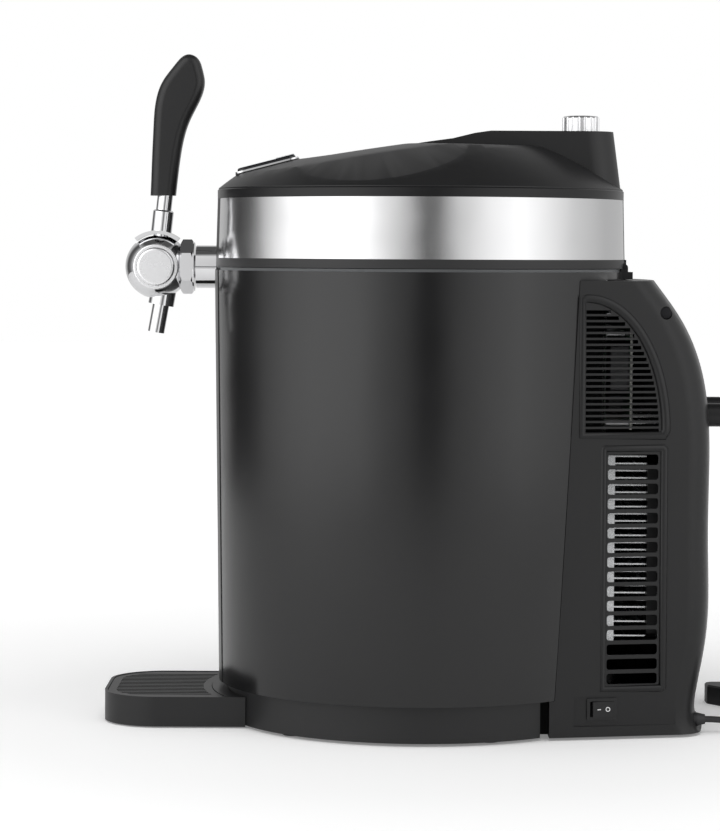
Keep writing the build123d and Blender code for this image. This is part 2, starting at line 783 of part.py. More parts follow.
def make_tap_lever():
    """Hub, pivot pin, stem, collar and saddle, made upright and then leaned back."""
    lever = rod((0, -hub_half_w, 0), (0, hub_half_w, 0), hub_r)
    lever += rod((0, -ball_flat_y, 0), (0, ball_flat_y, 0), pivot_r)
    lever += rod((0, 0, 0), (0, 0, stem_l), stem_r)
    lever += turned([(0, collar_from), (collar_r - 1, collar_from - 1.5), (collar_r, collar_from),
                     (collar_r, collar_to - 1), (collar_r - 1, collar_to), (0, collar_to)])
    saddle_r = ball_r + free_gap
    saddle = rod((0, -saddle_half_w, 0), (0, saddle_half_w, 0), saddle_r + saddle_t)
    saddle -= rod((0, -20, 0), (0, 20, 0), saddle_r)
    spread = math.radians(saddle_half_deg)
    reach = 60 * math.sin(spread)
    saddle &= prism_y([(0, 0), (-reach, 60 * math.cos(spread)), (0, 70), (reach, 60 * math.cos(spread))], 20)
    neck = rod((0, 0, saddle_r + 0.5), (0, 0, collar_from), collar_r)
    lever = Rot(0, lever_lean, 0) * (lever + neck) + saddle
    return Pos(tap_x, 0, tap_z) * lever


def make_tap_grip():
    side = Spline(*[(x, 0, z) for x, z in grip_outline])
    foot = Line(side @ 1, side @ 0)
    grip = extrude(make_face([side, foot]), amount=grip_half_w, dir=(0, 1, 0), both=True)
    flanks = grip.edges().filter_by(lambda edge: abs(edge.center().Y) > grip_half_w - 0.1)
    grip = fillet(flanks.filter_by(lambda edge: edge.length > 40), grip_fillet)
    lean = math.radians(lever_lean)
    tip = (tap_x + 90 * math.sin(lean), 0, tap_z + 90 * math.cos(lean))
    socket = rod((tap_x, 0, tap_z), tip, stem_r + seat_gap)
    reach = tap_z + (stem_l + 1) * math.cos(lean)
    return grip - (socket & slab(-300, 0, -50, 50, 0, reach))


# Lid
def make_lid_skirt():
    skirt = lid_core(0, lid_z0, band_z1)
    skirt -= lid_core(-band_t - lid_wall, lid_z0 - 1, band_z1 + 1)
    pocket = lid_core(1, band_z0, band_z1) - lid_core(-band_t - cone_gap, band_z0 - 1, band_z1 + 1)
    pocket -= slab(-200, 0, -lid_strip_half_w, lid_strip_half_w, 300, 400)
    pocket -= slab(0, 200, -rear_strip_half_w, rear_strip_half_w, 300, 400)
    skirt -= pocket
    ear_room = slab(hinge_x - knuckle_r - 0.5, hinge_x + 10, ear_y0 - free_gap, ear_y1 + free_gap,
                    lid_z0 - 1, hinge_z + knuckle_r + 0.5)
    skirt -= [ear_room, ear_room.mirror(Plane.XZ)]
    knuckle = rod((hinge_x, -knuckle_half_w, hinge_z), (hinge_x, knuckle_half_w, hinge_z), knuckle_r)
    knuckle += slab(hinge_x - knuckle_r, hinge_x + knuckle_r - 0.4, -knuckle_half_w, knuckle_half_w,
                    hinge_z, band_z0)
    skirt += knuckle
    skirt -= rod((hinge_x, -40, hinge_z), (hinge_x, 40, hinge_z), hinge_pin_r + pin_gap)
    return skirt - shank_way


def make_steel_band():
    band = lid_core(-seat_gap, band_z0 + seat_gap, band_z1 - seat_gap)
    band -= lid_core(seat_gap - band_t, band_z0 - 1, band_z1 + 1)
    band -= slab(-200, 0, -lid_strip_half_w - seat_gap, lid_strip_half_w + seat_gap, 300, 400)
    return band - slab(0, 200, -rear_strip_half_w - seat_gap, rear_strip_half_w + seat_gap, 300, 400)


def make_lid_rim():
    outer_r = lid_top_r + 0.1
    inner_r = lid_top_r - band_t - lid_wall
    rim = turned([(inner_r, band_z1), (outer_r, band_z1), (outer_r, rim_z1 - 0.8), (outer_r - 0.8, rim_z1),
                  (inner_r, rim_z1)])
    return rim


def dome_solid(inset):
    base_r = lid_top_r - rim_groove - inset
    crest_r, crest_z = dome_crest
    mid_r, mid_z = dome_flank_mid
    flank = ThreePointArc((base_r, 0, rim_z1 + 0.6), (mid_r - inset / 2, 0, mid_z - inset),
                          (crest_r, 0, crest_z - inset))
    rise = dome_crown_z - crest_z
    crown_r = (crest_r ** 2 + rise ** 2) / (2 * rise)
    crown_fall = crown_r - math.sqrt(crown_r ** 2 - crest_r ** 2 / 4)
    crown = ThreePointArc(flank @ 1, (crest_r / 2, 0, dome_crown_z - crown_fall - inset),
                          (0, 0, dome_crown_z - inset))
    sides = Polyline(crown @ 1, (0, 0, rim_z1), (base_r, 0, rim_z1), flank @ 0)
    dome = revolve(make_face([flank, crown, sides]), Axis.Z, 360)
    outline = [(x, 0, z - inset) for x, z in slope_line]
    outline += [(160, 0, slope_line[-1][1] - inset), (160, 0, 330), (-146.0, 0, 330)]
    crown_axis = Axis((0, 0, slope_axis_z), (1, 0, 0))
    slope = revolve(make_face(Polyline(*outline, close=True)).rotate(crown_axis, -30), crown_axis, 60)
    side = Plane(origin=side_cut_point, z_dir=side_cut_dir) * Pos(0, 0, -150 - inset) * Box(700, 700, 300)
    return dome & slope & side & side.mirror(Plane.XZ)


def hump_solid(inset):
    outline = [(x, z - inset) for x, z in hump_line]
    outline += [(hump_rear_x - inset, hump_top_z - inset), (hump_foot_x - inset, rim_z1),
                (hump_line[0][0], rim_z1)]
    hump = prism_y(outline, hump_half_w - inset)
    corners = hump.edges().filter_by(lambda edge: abs(edge.center().Y) > hump_half_w - inset - 0.1
                                     and edge.center().X > hump_rear_x - inset - 1
                                     and edge.length > 20)
    corners = corners.filter_by(lambda edge: abs(edge.tangent_at(0.5).Z) > 0.8)
    return fillet(corners, hump_corner_r - inset)


def make_lid_shell():
    pad = extrude(RectangleRounded(display_l, 2 * display_half_w, 6), -shell_t)
    outer = dome_solid(0) + hump_solid(0) + display_plane() * Pos(0, 0, -seat_gap) * pad
    inner = dome_solid(shell_t) + hump_solid(shell_t)
    shell = outer - inner
    shell -= disc(knob_stem_r + 2, 380, 450, x=knob_x)
    return shell - display_plane() * Box(window_l, 2 * window_half_w, 30)


def make_lid_liner():
    outer_r = lid_radius(lid_z0) - band_t - lid_wall - 0.3
    cup_z0 = lid_cup_z1 - lid_liner_t
    liner = turned([(lid_cup_r, lid_z0), (outer_r, lid_z0), (outer_r, lid_z0 + lid_liner_t),
                    (lid_cup_r + lid_liner_t, lid_z0 + lid_liner_t), (lid_cup_r + lid_liner_t, lid_cup_z1),
                    (0, lid_cup_z1), (0, cup_z0), (lid_cup_r, cup_z0)])
    trough = rod((-outer_r + 0.5, 0, tap_z), (-lid_cup_r - 0.5, 0, tap_z), shank_way_r + lid_liner_t)
    liner += trough & slab(-200, 0, -50, 50, lid_z0, 400)
    hatch = slab(holder_x0 - 8, lid_cup_r - 6, -holder_r - 5, holder_r + 5, cup_z0 - 1, lid_cup_z1 + 1)
    return liner - shank_way - hinge_room - hatch - disc(gas_line_r + 1, 300, 400, x=gas_line_x)


def make_lid_foam():
    inner_r = lid_cup_r + lid_liner_t + seat_gap
    outer_r = lid_radius(lid_foam_z1) - band_t - lid_wall - cone_gap
    foam = ring(inner_r, outer_r, lid_z0 + lid_liner_t + seat_gap, lid_foam_z1) - hinge_room
    return foam - rod((-160, 0, tap_z), (-60, 0, tap_z), shank_way_r + lid_liner_t + seat_gap)


def display_plane():
    """Place of the display: on the front slope, with its local Z square to the slope."""
    low = slope_line[display_line[0]]
    high = slope_line[display_line[1]]
    pitch = math.atan2(high[1] - low[1], high[0] - low[0])
    z = low[1] + (display_x - low[0]) * math.tan(pitch)
    return Pos(display_x, 0, z + seat_gap / math.cos(pitch)) * Rot(0, -math.degrees(pitch), 0)


def make_display_bezel():
    plate = extrude(RectangleRounded(display_l, 2 * display_half_w, 6), bezel_t)
    tray = Pos(0, 0, -1.5) * Box(window_l - 0.4, 2 * window_half_w - 0.4, 3)
    well = Pos(0, 0, -1) * Box(window_l - 3, 2 * window_half_w - 3, 10)
    return display_plane() * (plate + tray - well)


def make_display_glass():
    length = display_l - 2 * glass_margin
    width = 2 * (display_half_w - glass_margin)
    glass = Pos(0, 0, bezel_t) * extrude(RectangleRounded(length, width, 5), glass_t)
    glass = chamfer(glass.edges().group_by(Axis.Z)[-1], 0.8)
    return display_plane() * glass


def make_display_board():
    board = Pos(0, 0, -1) * Box(window_l - 3.4, 2 * window_half_w - 3.4, board_t)
    return display_plane() * board


def make_regulator():
    body = disc(regulator_r, regulator_z0, regulator_z1, x=knob_x)
    body += disc(regulator_flange_r, regulator_z1 - 1, hump_top_z - shell_t - free_gap, x=knob_x)
    body += rod((spigot_x, 0, spigot_z), (knob_x, 0, spigot_z), spigot_r)
    body -= rod((spigot_x - 1, 0, spigot_z), (knob_x - 6, 0, spigot_z), cartridge_neck_r + 0.3)
    return body - disc(knob_stem_r + pin_gap, regulator_z1 - 16, 430, x=knob_x)


def make_gas_line():
    corner = (knob_x, 0, gas_line_z)
    elbow = (gas_line_x, 0, gas_line_z)
    route = FilletPolyline((knob_x, 0, regulator_z0), corner, elbow, (gas_line_x, 0, gas_coupling_z),
                           radius=[5.5, 5.5])
    tube = sweep(Plane(origin=route @ 0, z_dir=route % 0) * Circle(gas_line_r), path=route)
    return tube + disc(gas_line_r + 2, gas_coupling_z - 8, gas_coupling_z, x=gas_line_x)


def make_cartridge_holder():
    holder = rod((holder_x0, 0, spigot_z), (holder_x1, 0, spigot_z), holder_r)
    holder = fillet(holder.edges().group_by(Axis.X)[0], 4)
    return holder - rod((holder_x0 + 2, 0, spigot_z), (holder_x1 + 1, 0, spigot_z),
                        spigot_r + holder_bore_gap)


def make_cartridge():
    shoulder_x = cartridge_x0 + cartridge_l
    body = rod((cartridge_x0, 0, spigot_z), (shoulder_x, 0, spigot_z), cartridge_r)
    body = fillet(body.edges().group_by(Axis.X)[0], 5)
    body = fillet(body.edges().group_by(Axis.X)[-1], 5)
    return body + rod((shoulder_x - 1, 0, spigot_z), (shoulder_x + cartridge_neck_l, 0, spigot_z),
                      cartridge_neck_r)


def make_pressure_knob():
    z0 = hump_top_z + knob_gap
    knob = disc(knob_r, z0, z0 + knob_h)
    knob = chamfer(knob.edges().group_by(Axis.Z)[-1], 1.4)
    flutes = []
    for index in range(knob_flutes):
        turn = math.radians(360 / knob_flutes * index)
        x = (knob_r + knob_flute_r * 0.45) * math.cos(turn)
        y = (knob_r + knob_flute_r * 0.45) * math.sin(turn)
        flutes.append(disc(knob_flute_r, z0 - 1, z0 + knob_h + 1, x=x, y=y))
    knob -= flutes
    return Pos(knob_x, 0, 0) * (knob + disc(knob_stem_r, regulator_z1 - 14, z0 + 1))


def make_hinge_pin():
    return rod((hinge_x, -ear_y1, hinge_z), (hinge_x, ear_y1, hinge_z), hinge_pin_r)


# Drip tray
def tray_outline(inset, rear_r):
    """Plan of the tray: rounded front corners, hollow rear that follows the round plinth."""
    front = tray_front_x + inset
    half = tray_half_w - inset
    block = Rectangle(-front, 2 * half, align=(Align.MIN, Align.CENTER))
    block = fillet(block.vertices().group_by(Axis.X)[-1], tray_corner_r - inset)
    return (Pos(0, 0, 0) * Rot(0, 0, 180) * block) - Circle(rear_r)


def make_drip_tray():
    body = Pos(0, 0, tray_z0) * extrude(tray_outline(0, plinth_r + tray_gap), tray_z1 - tray_z0)
    ledge_z = tray_z1 - grille_t - grille_gap
    body -= Pos(0, 0, ledge_z) * extrude(tray_outline(tray_wall, tray_deck_r), 20)
    body -= Pos(0, 0, tray_z0 + tray_wall) * extrude(tray_outline(2 * tray_wall, tray_deck_r + tray_wall), 30)
    for side in (-1, 1):
        half_w = tongue_w / 2 + grille_gap
        y = side * tongue_y
        body -= slab(-150, -100, y - half_w, y + half_w, tongue_z - grille_gap,
                     tongue_z + tongue_t + grille_gap)
    return body


def make_drip_grille():
    outline = tray_outline(tray_wall + grille_gap, tray_deck_r + grille_gap)
    open_area = tray_outline(tray_wall + grille_edge, tray_deck_r + grille_edge)
    slots = []
    for index in range(grille_slot_count):
        y = (index - (grille_slot_count - 1) / 2) * grille_slot_pitch
        slots.append(Pos(-180, y) * Rectangle(100, grille_slot_w))
    z = tray_z1 - grille_t - grille_gap
    plate = Pos(0, 0, z) * extrude(outline, grille_t)
    return plate - Pos(0, 0, z - 1) * extrude(open_area & Sketch() + slots, grille_t + 2)


# Power cord
def corner_radii(points):
    radii = []
    for before, here, after in zip(points, points[1:], points[2:]):
        run_in = Vector(*here) - Vector(*before)
        run_out = Vector(*after) - Vector(*here)
        half_turn = math.radians(run_in.get_angle(run_out)) / 2
        radii.append(0.45 * min(run_in.length, run_out.length) / math.tan(half_turn))
    return radii


def cord_tube(points, name):
    radii = corner_radii(points)
    print(name, "radii", [round(radius, 1) for radius in radii])
    path = FilletPolyline(*points, radius=radii)
    print(name, "length", round(path.length, 1))
    return sweep(Plane(origin=path @ 0, z_dir=path % 0) * Circle(cord_d / 2), path=path)


def coil_turns():
    """Radii of the half turns, and whether each one climbs to the next layer."""
    step = coil_pitch / 2
    inward = [coil_outer_r - step * index for index in range(4)]
    outward = inward[::-1]
    climb_in = (coil_inner_r - step, True)
    climb_out = (coil_outer_r + step, True)
    turns = [(coil_start_r, False), (coil_start_r - step, False)]
    turns += [(radius, False) for radius in inward] + [climb_in]
    turns += [(radius, False) for radius in outward] + [climb_out]
    turns += [(radius, False) for radius in inward] + [climb_in]
    turns += [(radius, False) for radius in outward]
    return turns


def coil_path():
    """Half turns in plan, each two quarter arcs; a climbing half turn rises by one pitch."""
    z = coil_lift + cord_d / 2
    here = Vector(coil_centre[0], coil_centre[1] - coil_start_r, z)
    heading = Vector(1, 0, 0)
    edges = [Line(here - heading * cord_d, here)]
    for radius, climbs in coil_turns():
        rise = coil_pitch if climbs else 0
        side = 1 if heading.X > 0 else -1
        there = here + Vector(0, side * 2 * radius, rise)
        reach = math.sqrt(radius ** 2 + rise ** 2 / 4)
        middle = (here + there) / 2 + heading * reach
        edges.append(TangentArc(here, middle, tangent=heading))
        edges.append(TangentArc(middle, there, tangent=edges[-1] % 1))
        here = there
        heading = heading * -1
    edges.append(Line(here, here + heading * cord_d))
    return Wire(edges)


def coil_gap(path):
    """Least gap between stretches of the coil that lie more than one turn's arc apart."""
    count = 1400
    points = [path @ (index / count) for index in range(count + 1)]
    apart = int(2.2 * cord_d * 2 / (path.length / count))
    least = 1e9
    for first in range(0, count + 1, 2):
        for second in range(first + apart, count + 1, 2):
            least = min(least, (points[first] - points[second]).length)
    return least - cord_d


coil = coil_path()


def make_cord_coil():
    print("coil length", round(coil.length, 1), "gap", round(coil_gap(coil), 2))
    return sweep(Plane(origin=coil @ 0, z_dir=coil % 0) * Circle(cord_d / 2), path=coil)


def make_cord_lead():
    route = [cord_exit] + lead_corners + [tuple(coil @ 0)]
    return cord_tube(route, "cord_lead")


def tail_route():
    route = [coil @ 1]
    for step in tail_steps:
        route.append(route[-1] + Vector(*step))
    return [tuple(point) for point in route]


def make_cord_tail():
    return cord_tube(tail_route(), "cord_tail")


def make_strain_relief():
    x, y, z = cord_exit
    nose = relief_l - relief_nose_l
    profile = [(0, 0), (relief_r1, 0), (relief_r0, nose * 0.7), (relief_r0, nose), (relief_r1, relief_l),
               (0, relief_l)]
    return Pos(x - relief_l, y, z) * Rot(0, 90, 0) * turned(profile)


def make_cord_tie():
    x0 = coil_centre[0] + coil_inner_r - coil_pitch / 2 - cord_d / 2 - tie_inner_gap
    x1 = coil_centre[0] + coil_start_r + cord_d / 2 + tie_gap
    z1 = coil_lift + 3 * coil_pitch + cord_d + tie_gap
    y0 = coil_centre[1] - tie_w / 2
    y1 = coil_centre[1] + tie_w / 2
    strap = slab(x0 - tie_t, x1 + tie_t, y0, y1, 0, z1 + tie_t) - slab(x0, x1, y0 - 1, y1 + 1, tie_t, z1)
    return strap + slab(x0 + 2, x1 - 2, y0, y1, z1 + tie_t, z1 + 2 * tie_t)


def plug_place():
    x, y, z = tail_route()[-1]
    return Pos(x, y, z)


def make_mains_plug():
    half = plug_w / 2
    waist = plug_waist_w / 2
    outline = Polyline((-waist, 0), (-waist, 4), (-half, plug_l - plug_head_l), (-half, plug_l - 3),
                       (-half + 5, plug_l), (half - 5, plug_l), (half, plug_l - 3),
                       (half, plug_l - plug_head_l), (waist, 4), (waist, 0), close=True)
    body = extrude(make_face(outline), amount=plug_h / 2, both=True)
    body = fillet(body.edges().filter_by(Axis.Z).group_by(Axis.Y)[1:3], 3)
    return plug_place() * chamfer(body.edges().group_by(Axis.Z)[-1], 1.2)


def make_plug_pins():
    pins = []
    for side in (-1, 1):
        x = side * plug_pin_gap / 2
        pin = rod((x, plug_l, 0), (x, plug_l + plug_pin_l, 0), plug_pin_r)
        pins.append(plug_place() * fillet(pin.edges().group_by(Axis.Y)[-1], 1.2))
    return Compound(children=pins)


parts["drum_shell"] = make_drum_shell()
parts["front_strip"] = make_front_strip()
parts["plinth"] = make_plinth()
parts["bottom_cover"] = make_bottom_cover()
parts["rubber_feet"] = make_feet()
parts["chamber_liner"] = make_chamber_liner()
parts["top_deck"] = make_top_deck()
parts["insulation"] = make_insulation()
parts["bulkhead"] = make_bulkhead()
parts["lid_seal"] = make_seal()
parts["cold_block"] = make_cold_block()
parts["thermo_module"] = make_module()
parts["heat_sink"] = make_heat_sink()
parts["fan_frame"] = make_fan_frame()
parts["fan_rotor"] = make_fan_rotor()
parts["power_board"] = make_power_board()
parts["board_standoffs"] = make_standoffs()
parts["rear_housing"] = make_rear_housing()
parts["housing_screws"] = make_housing_screws()
parts["switch_bezel"] = make_switch_bezel()
parts["switch_key"] = make_switch_key()
parts["tap_body"] = make_tap_body()
parts["tap_caps"] = make_tap_caps()
parts["tap_nut"] = make_tap_nut()
parts["tap_shank"] = make_tap_shank()
parts["spout"] = make_spout()
parts["lower_sleeve"] = half_sleeve(upper=False)
parts["upper_sleeve"] = half_sleeve(upper=True)
parts["tap_lever"] = make_tap_lever()
parts["tap_grip"] = make_tap_grip()
parts["lid_skirt"] = make_lid_skirt()
parts["steel_band"] = make_steel_band()
parts["lid_rim"] = make_lid_rim()
parts["lid_shell"] = make_lid_shell()
parts["lid_liner"] = make_lid_liner()
parts["lid_foam"] = make_lid_foam()
parts["display_bezel"] = make_display_bezel()
parts["display_glass"] = make_display_glass()
parts["display_board"] = make_display_board()
parts["gas_regulator"] = make_regulator()
parts["gas_line"] = make_gas_line()
parts["cartridge_holder"] = make_cartridge_holder()
parts["gas_cartridge"] = make_cartridge()
parts["pressure_knob"] = make_pressure_knob()
parts["hinge_pin"] = make_hinge_pin()
parts["drip_tray"] = make_drip_tray()
parts["drip_grille"] = make_drip_grille()
parts["strain_relief"] = make_strain_relief()
parts["cord_lead"] = make_cord_lead()
parts["cord_coil"] = make_cord_coil()
parts["cord_tail"] = make_cord_tail()
parts["cord_tie"] = make_cord_tie()
parts["mains_plug"] = make_mains_plug()
parts["plug_pins"] = make_plug_pins()

os.makedirs("parts", exist_ok=True)
for name, solid in parts.items():
    export_step(solid, f"parts/{name}.step")
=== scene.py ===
import math

import bmesh
import bpy
from mathutils import Matrix, Vector


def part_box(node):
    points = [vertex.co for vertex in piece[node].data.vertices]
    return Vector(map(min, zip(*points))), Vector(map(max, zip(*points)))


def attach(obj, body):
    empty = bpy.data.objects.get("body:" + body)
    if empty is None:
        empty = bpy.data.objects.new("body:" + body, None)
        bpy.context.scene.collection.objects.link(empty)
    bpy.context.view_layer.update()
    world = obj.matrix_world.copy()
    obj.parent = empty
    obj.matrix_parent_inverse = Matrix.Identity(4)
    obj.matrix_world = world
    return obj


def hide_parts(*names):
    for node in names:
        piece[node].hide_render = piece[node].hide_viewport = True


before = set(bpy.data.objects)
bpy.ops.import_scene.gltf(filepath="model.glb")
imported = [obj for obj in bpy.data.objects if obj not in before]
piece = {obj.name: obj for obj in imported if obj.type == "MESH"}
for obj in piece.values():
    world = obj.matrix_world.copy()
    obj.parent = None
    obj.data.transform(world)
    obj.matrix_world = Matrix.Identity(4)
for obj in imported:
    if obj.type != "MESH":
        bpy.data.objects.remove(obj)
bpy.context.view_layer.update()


def placed(name, data):
    """A new object with this data, linked into the scene."""
    made = bpy.data.objects.new(name, data)
    bpy.context.scene.collection.objects.link(made)
    return made


def number(tree, operation, *values):
    """The result of a math node. Each value is a number or the output of another node."""
    node = tree.nodes.new("ShaderNodeMath")
    node.operation = operation
    for socket, value in zip(node.inputs, values):
        if isinstance(value, (int, float)):
            socket.default_value = value
        else:
            tree.links.new(value, socket)
    return node.outputs["Value"]


# Camera. It stands level with the lid, about two metres to the side of the machine, and looks a
# little down, so that the tap is at the left and the cooling unit runs to the right edge.
camera = placed("camera", bpy.data.cameras.new("camera"))
camera.data.sensor_width = 36.0
camera.data.lens = 125.6
camera.location = (-0.042, -2.03, 0.328)
camera.rotation_euler = (math.radians(90.0 - 3.29), math.radians(-0.29), 0.0)
camera.data.clip_start = 0.1
camera.data.clip_end = 20.0
bpy.context.scene.camera = camera

# Power cord. A round black rubber lead leaves the foot of the rear housing, runs down to the
# worktop and is wound into a neat coil behind the machine, with a flat two-pin plug on its end.
CORD_RADIUS = 0.0022
LAYER_RISE = 0.005
ARC_STEPS = 8
cord_rubber = bpy.data.materials.new("cord_rubber")
cord_rubber.use_nodes = True
nodes = cord_rubber.node_tree.nodes
shader = nodes["Principled BSDF"]
shader.inputs["Base Color"].default_value = (0.022, 0.022, 0.023, 1.0)
shader.inputs["Roughness"].default_value = 0.5
skin = nodes.new("ShaderNodeTexNoise")
skin.inputs["Scale"].default_value = 900.0
skin.inputs["Detail"].default_value = 3.0
place = nodes.new("ShaderNodeTexCoord")
bump = nodes.new("ShaderNodeBump")
bump.inputs["Strength"].default_value = 0.25
bump.inputs["Distance"].default_value = 0.0002
cord_rubber.node_tree.links.new(place.outputs["Object"], skin.inputs["Vector"])
cord_rubber.node_tree.links.new(skin.outputs["Fac"], bump.inputs["Height"])
cord_rubber.node_tree.links.new(bump.outputs["Normal"], shader.inputs["Normal"])

lead = [(0.1945, -0.070, 0.0094), (0.2050, -0.070, 0.0094), (0.2210, -0.0709, 0.0064),
        (0.2400, -0.0732, 0.0038), (0.2590, -0.0745, 0.0031)]

half_turns = [0.0325, 0.030, 0.0275, 0.025, 0.0225, 0.020, 0.0175, 0.020, 0.0225, 0.025, 0.0275,
              0.030, 0.0275, 0.025, 0.0225, 0.020, 0.0175, 0.020, 0.0225, 0.025, 0.0275]
climbs = (6, 11, 16)
coil_x = 0.279
turn_y = -0.0745
layer_z = 0.0031
side = 1.0
coil_points = []
for index, radius in enumerate(half_turns):
    rise = LAYER_RISE if index in climbs else 0.0
    reach = radius / math.cos(math.pi / ARC_STEPS / 2.0)
    for step in range(ARC_STEPS):
        share = (step + 0.5) / ARC_STEPS
        angle = math.pi * share
        coil_points.append((coil_x + side * reach * math.sin(angle),
                            turn_y + side * radius - side * reach * math.cos(angle),
                            layer_z + rise * share))
    turn_y += side * 2.0 * radius
    layer_z += rise
    side = -side

tail = [(0.2670, turn_y, layer_z)]
for move in ((-0.015, 0.004, -0.0029), (-0.012, 0.011, -0.004), (-0.006, 0.015, -0.0032),
             (-0.001, 0.015, -0.00115), (0.0, 0.013, 0.0)):
    tail.append(tuple(Vector(tail[-1]) + Vector(move)))

cord_line = bpy.data.curves.new("power_cord", "CURVE")
cord_line.dimensions = "3D"
cord_spline = cord_line.splines.new("NURBS")
cord_route = lead + coil_points + tail
cord_spline.points.add(len(cord_route) - 1)
for point, spot in zip(cord_spline.points, cord_route):
    point.co = (*spot, 1.0)
cord_spline.order_u = 3
cord_spline.use_endpoint_u = True
cord_spline.resolution_u = 4
cord_line.bevel_depth = CORD_RADIUS
cord_line.bevel_resolution = 4
cord_line.use_fill_caps = True
cord_line.materials.append(cord_rubber)
power_cord = placed("power_cord", cord_line)
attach(power_cord, "cabinet")
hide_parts("cord_lead", "cord_coil", "cord_tail")

# Base. The round plinth with its cover and six feet. The plinth is moulded in black ABS with a fine
# spark-eroded texture, the cover is held up by eight screws, and the feet are soft rubber pads.
WELD_DISTANCE = 0.000002
CROWN_SHARE = 0.8
GROOVE_LENGTH = 1.1
GROOVE_WIDTH = 0.26


def moulded(name, tone, roughness, grain, depth, gloss=0.4):
    """Moulded plastic: a slightly clouded tone, a fine grain in relief and uneven roughness."""
    material = bpy.data.materials.new(name)
    material.use_nodes = True
    tree = material.node_tree
    shader = tree.nodes["Principled BSDF"]
    shader.inputs["Specular IOR Level"].default_value = gloss
    place = tree.nodes.new("ShaderNodeTexCoord")
    grains = tree.nodes.new("ShaderNodeTexNoise")
    grains.inputs["Scale"].default_value = grain
    grains.inputs["Detail"].default_value = 4.0
    tree.links.new(place.outputs["Object"], grains.inputs["Vector"])
    relief = tree.nodes.new("ShaderNodeBump")
    relief.inputs["Strength"].default_value = 0.35
    relief.inputs["Distance"].default_value = depth
    tree.links.new(grains.outputs["Fac"], relief.inputs["Height"])
    tree.links.new(relief.outputs["Normal"], shader.inputs["Normal"])
    clouds = tree.nodes.new("ShaderNodeTexNoise")
    clouds.inputs["Scale"].default_value = 14.0
    clouds.inputs["Detail"].default_value = 5.0
    tree.links.new(place.outputs["Object"], clouds.inputs["Vector"])
    finish = tree.nodes.new("ShaderNodeMapRange")
    finish.inputs["To Min"].default_value = max(roughness - 0.04, 0.02)
    finish.inputs["To Max"].default_value = roughness + 0.04
    tree.links.new(clouds.outputs["Fac"], finish.inputs["Value"])
    tree.links.new(finish.outputs["Result"], shader.inputs["Roughness"])
    pigment = tree.nodes.new("ShaderNodeValToRGB")
    pigment.color_ramp.elements[0].position = 0.3
    pigment.color_ramp.elements[0].color = (*[0.88 * part for part in tone], 1.0)
    pigment.color_ramp.elements[1].position = 0.7
    pigment.color_ramp.elements[1].color = (*[1.12 * part for part in tone], 1.0)
    tree.links.new(clouds.outputs["Fac"], pigment.inputs["Fac"])
    tree.links.new(pigment.outputs["Color"], shader.inputs["Base Color"])
    return material


def metal(name, tone, roughness, streak, depth):
    """Bare metal with a fine directional finish; streak is the noise scale along each axis."""
    material = bpy.data.materials.new(name)
    material.use_nodes = True
    tree = material.node_tree
    shader = tree.nodes["Principled BSDF"]
    shader.inputs["Base Color"].default_value = (*tone, 1.0)
    shader.inputs["Metallic"].default_value = 1.0
    place = tree.nodes.new("ShaderNodeTexCoord")
    stretch = tree.nodes.new("ShaderNodeMapping")
    stretch.inputs["Scale"].default_value = streak
    lines = tree.nodes.new("ShaderNodeTexNoise")
    lines.inputs["Scale"].default_value = 1.0
    lines.inputs["Detail"].default_value = 5.0
    tree.links.new(place.outputs["Object"], stretch.inputs["Vector"])
    tree.links.new(stretch.outputs["Vector"], lines.inputs["Vector"])
    relief = tree.nodes.new("ShaderNodeBump")
    relief.inputs["Strength"].default_value = 0.3
    relief.inputs["Distance"].default_value = depth
    tree.links.new(lines.outputs["Fac"], relief.inputs["Height"])
    tree.links.new(relief.outputs["Normal"], shader.inputs["Normal"])
    finish = tree.nodes.new("ShaderNodeMapRange")
    finish.inputs["To Min"].default_value = roughness * 0.75
    finish.inputs["To Max"].default_value = roughness * 1.25
    tree.links.new(lines.outputs["Fac"], finish.inputs["Value"])
    tree.links.new(finish.outputs["Result"], shader.inputs["Roughness"])
    return material


def finished(name, shape, body, slot, *nodes):
    """Puts a finished piece on its body, in place of the plain CAD pieces it stands for."""
    made = placed(name, shape)
    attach(made, body)
    if nodes:
        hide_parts(*nodes)
    return made


def shaped(name, form, material, body, slot, *nodes):
    """A finished piece with this form as its mesh, all of one material."""
    mesh = bpy.data.meshes.new(name)
    form.to_mesh(mesh)
    form.free()
    mesh.materials.append(material)
    return finished(name, mesh, body, slot, *nodes)


def smoothed(name, node, body, slot, material, sharp=32.0):
    """The CAD piece with its triangles welded, its round faces smooth and its edges crisp."""
    mesh = piece[node].data.copy()
    mesh.name = name
    form = bmesh.new()
    form.from_mesh(mesh)
    bmesh.ops.remove_doubles(form, verts=form.verts, dist=WELD_DISTANCE)
    for face in form.faces:
        face.smooth = True
        face.material_index = 0
    for edge in form.edges:
        edge.smooth = edge.calc_face_angle(math.pi) < math.radians(sharp)
    form.to_mesh(mesh)
    form.free()
    if "custom_normal" in mesh.attributes:
        mesh.attributes.remove(mesh.attributes["custom_normal"])
    mesh.materials.clear()
    mesh.materials.append(material)
    made = finished(name, mesh, body, slot, node)
    even = made.modifiers.new("even", "WEIGHTED_NORMAL")
    even.keep_sharp = True
    return made


def dress(material, *names):
    """Gives the CAD pieces of these names the material in place of their plain one."""
    for name in names:
        piece[name].data.materials.clear()
        piece[name].data.materials.append(material)


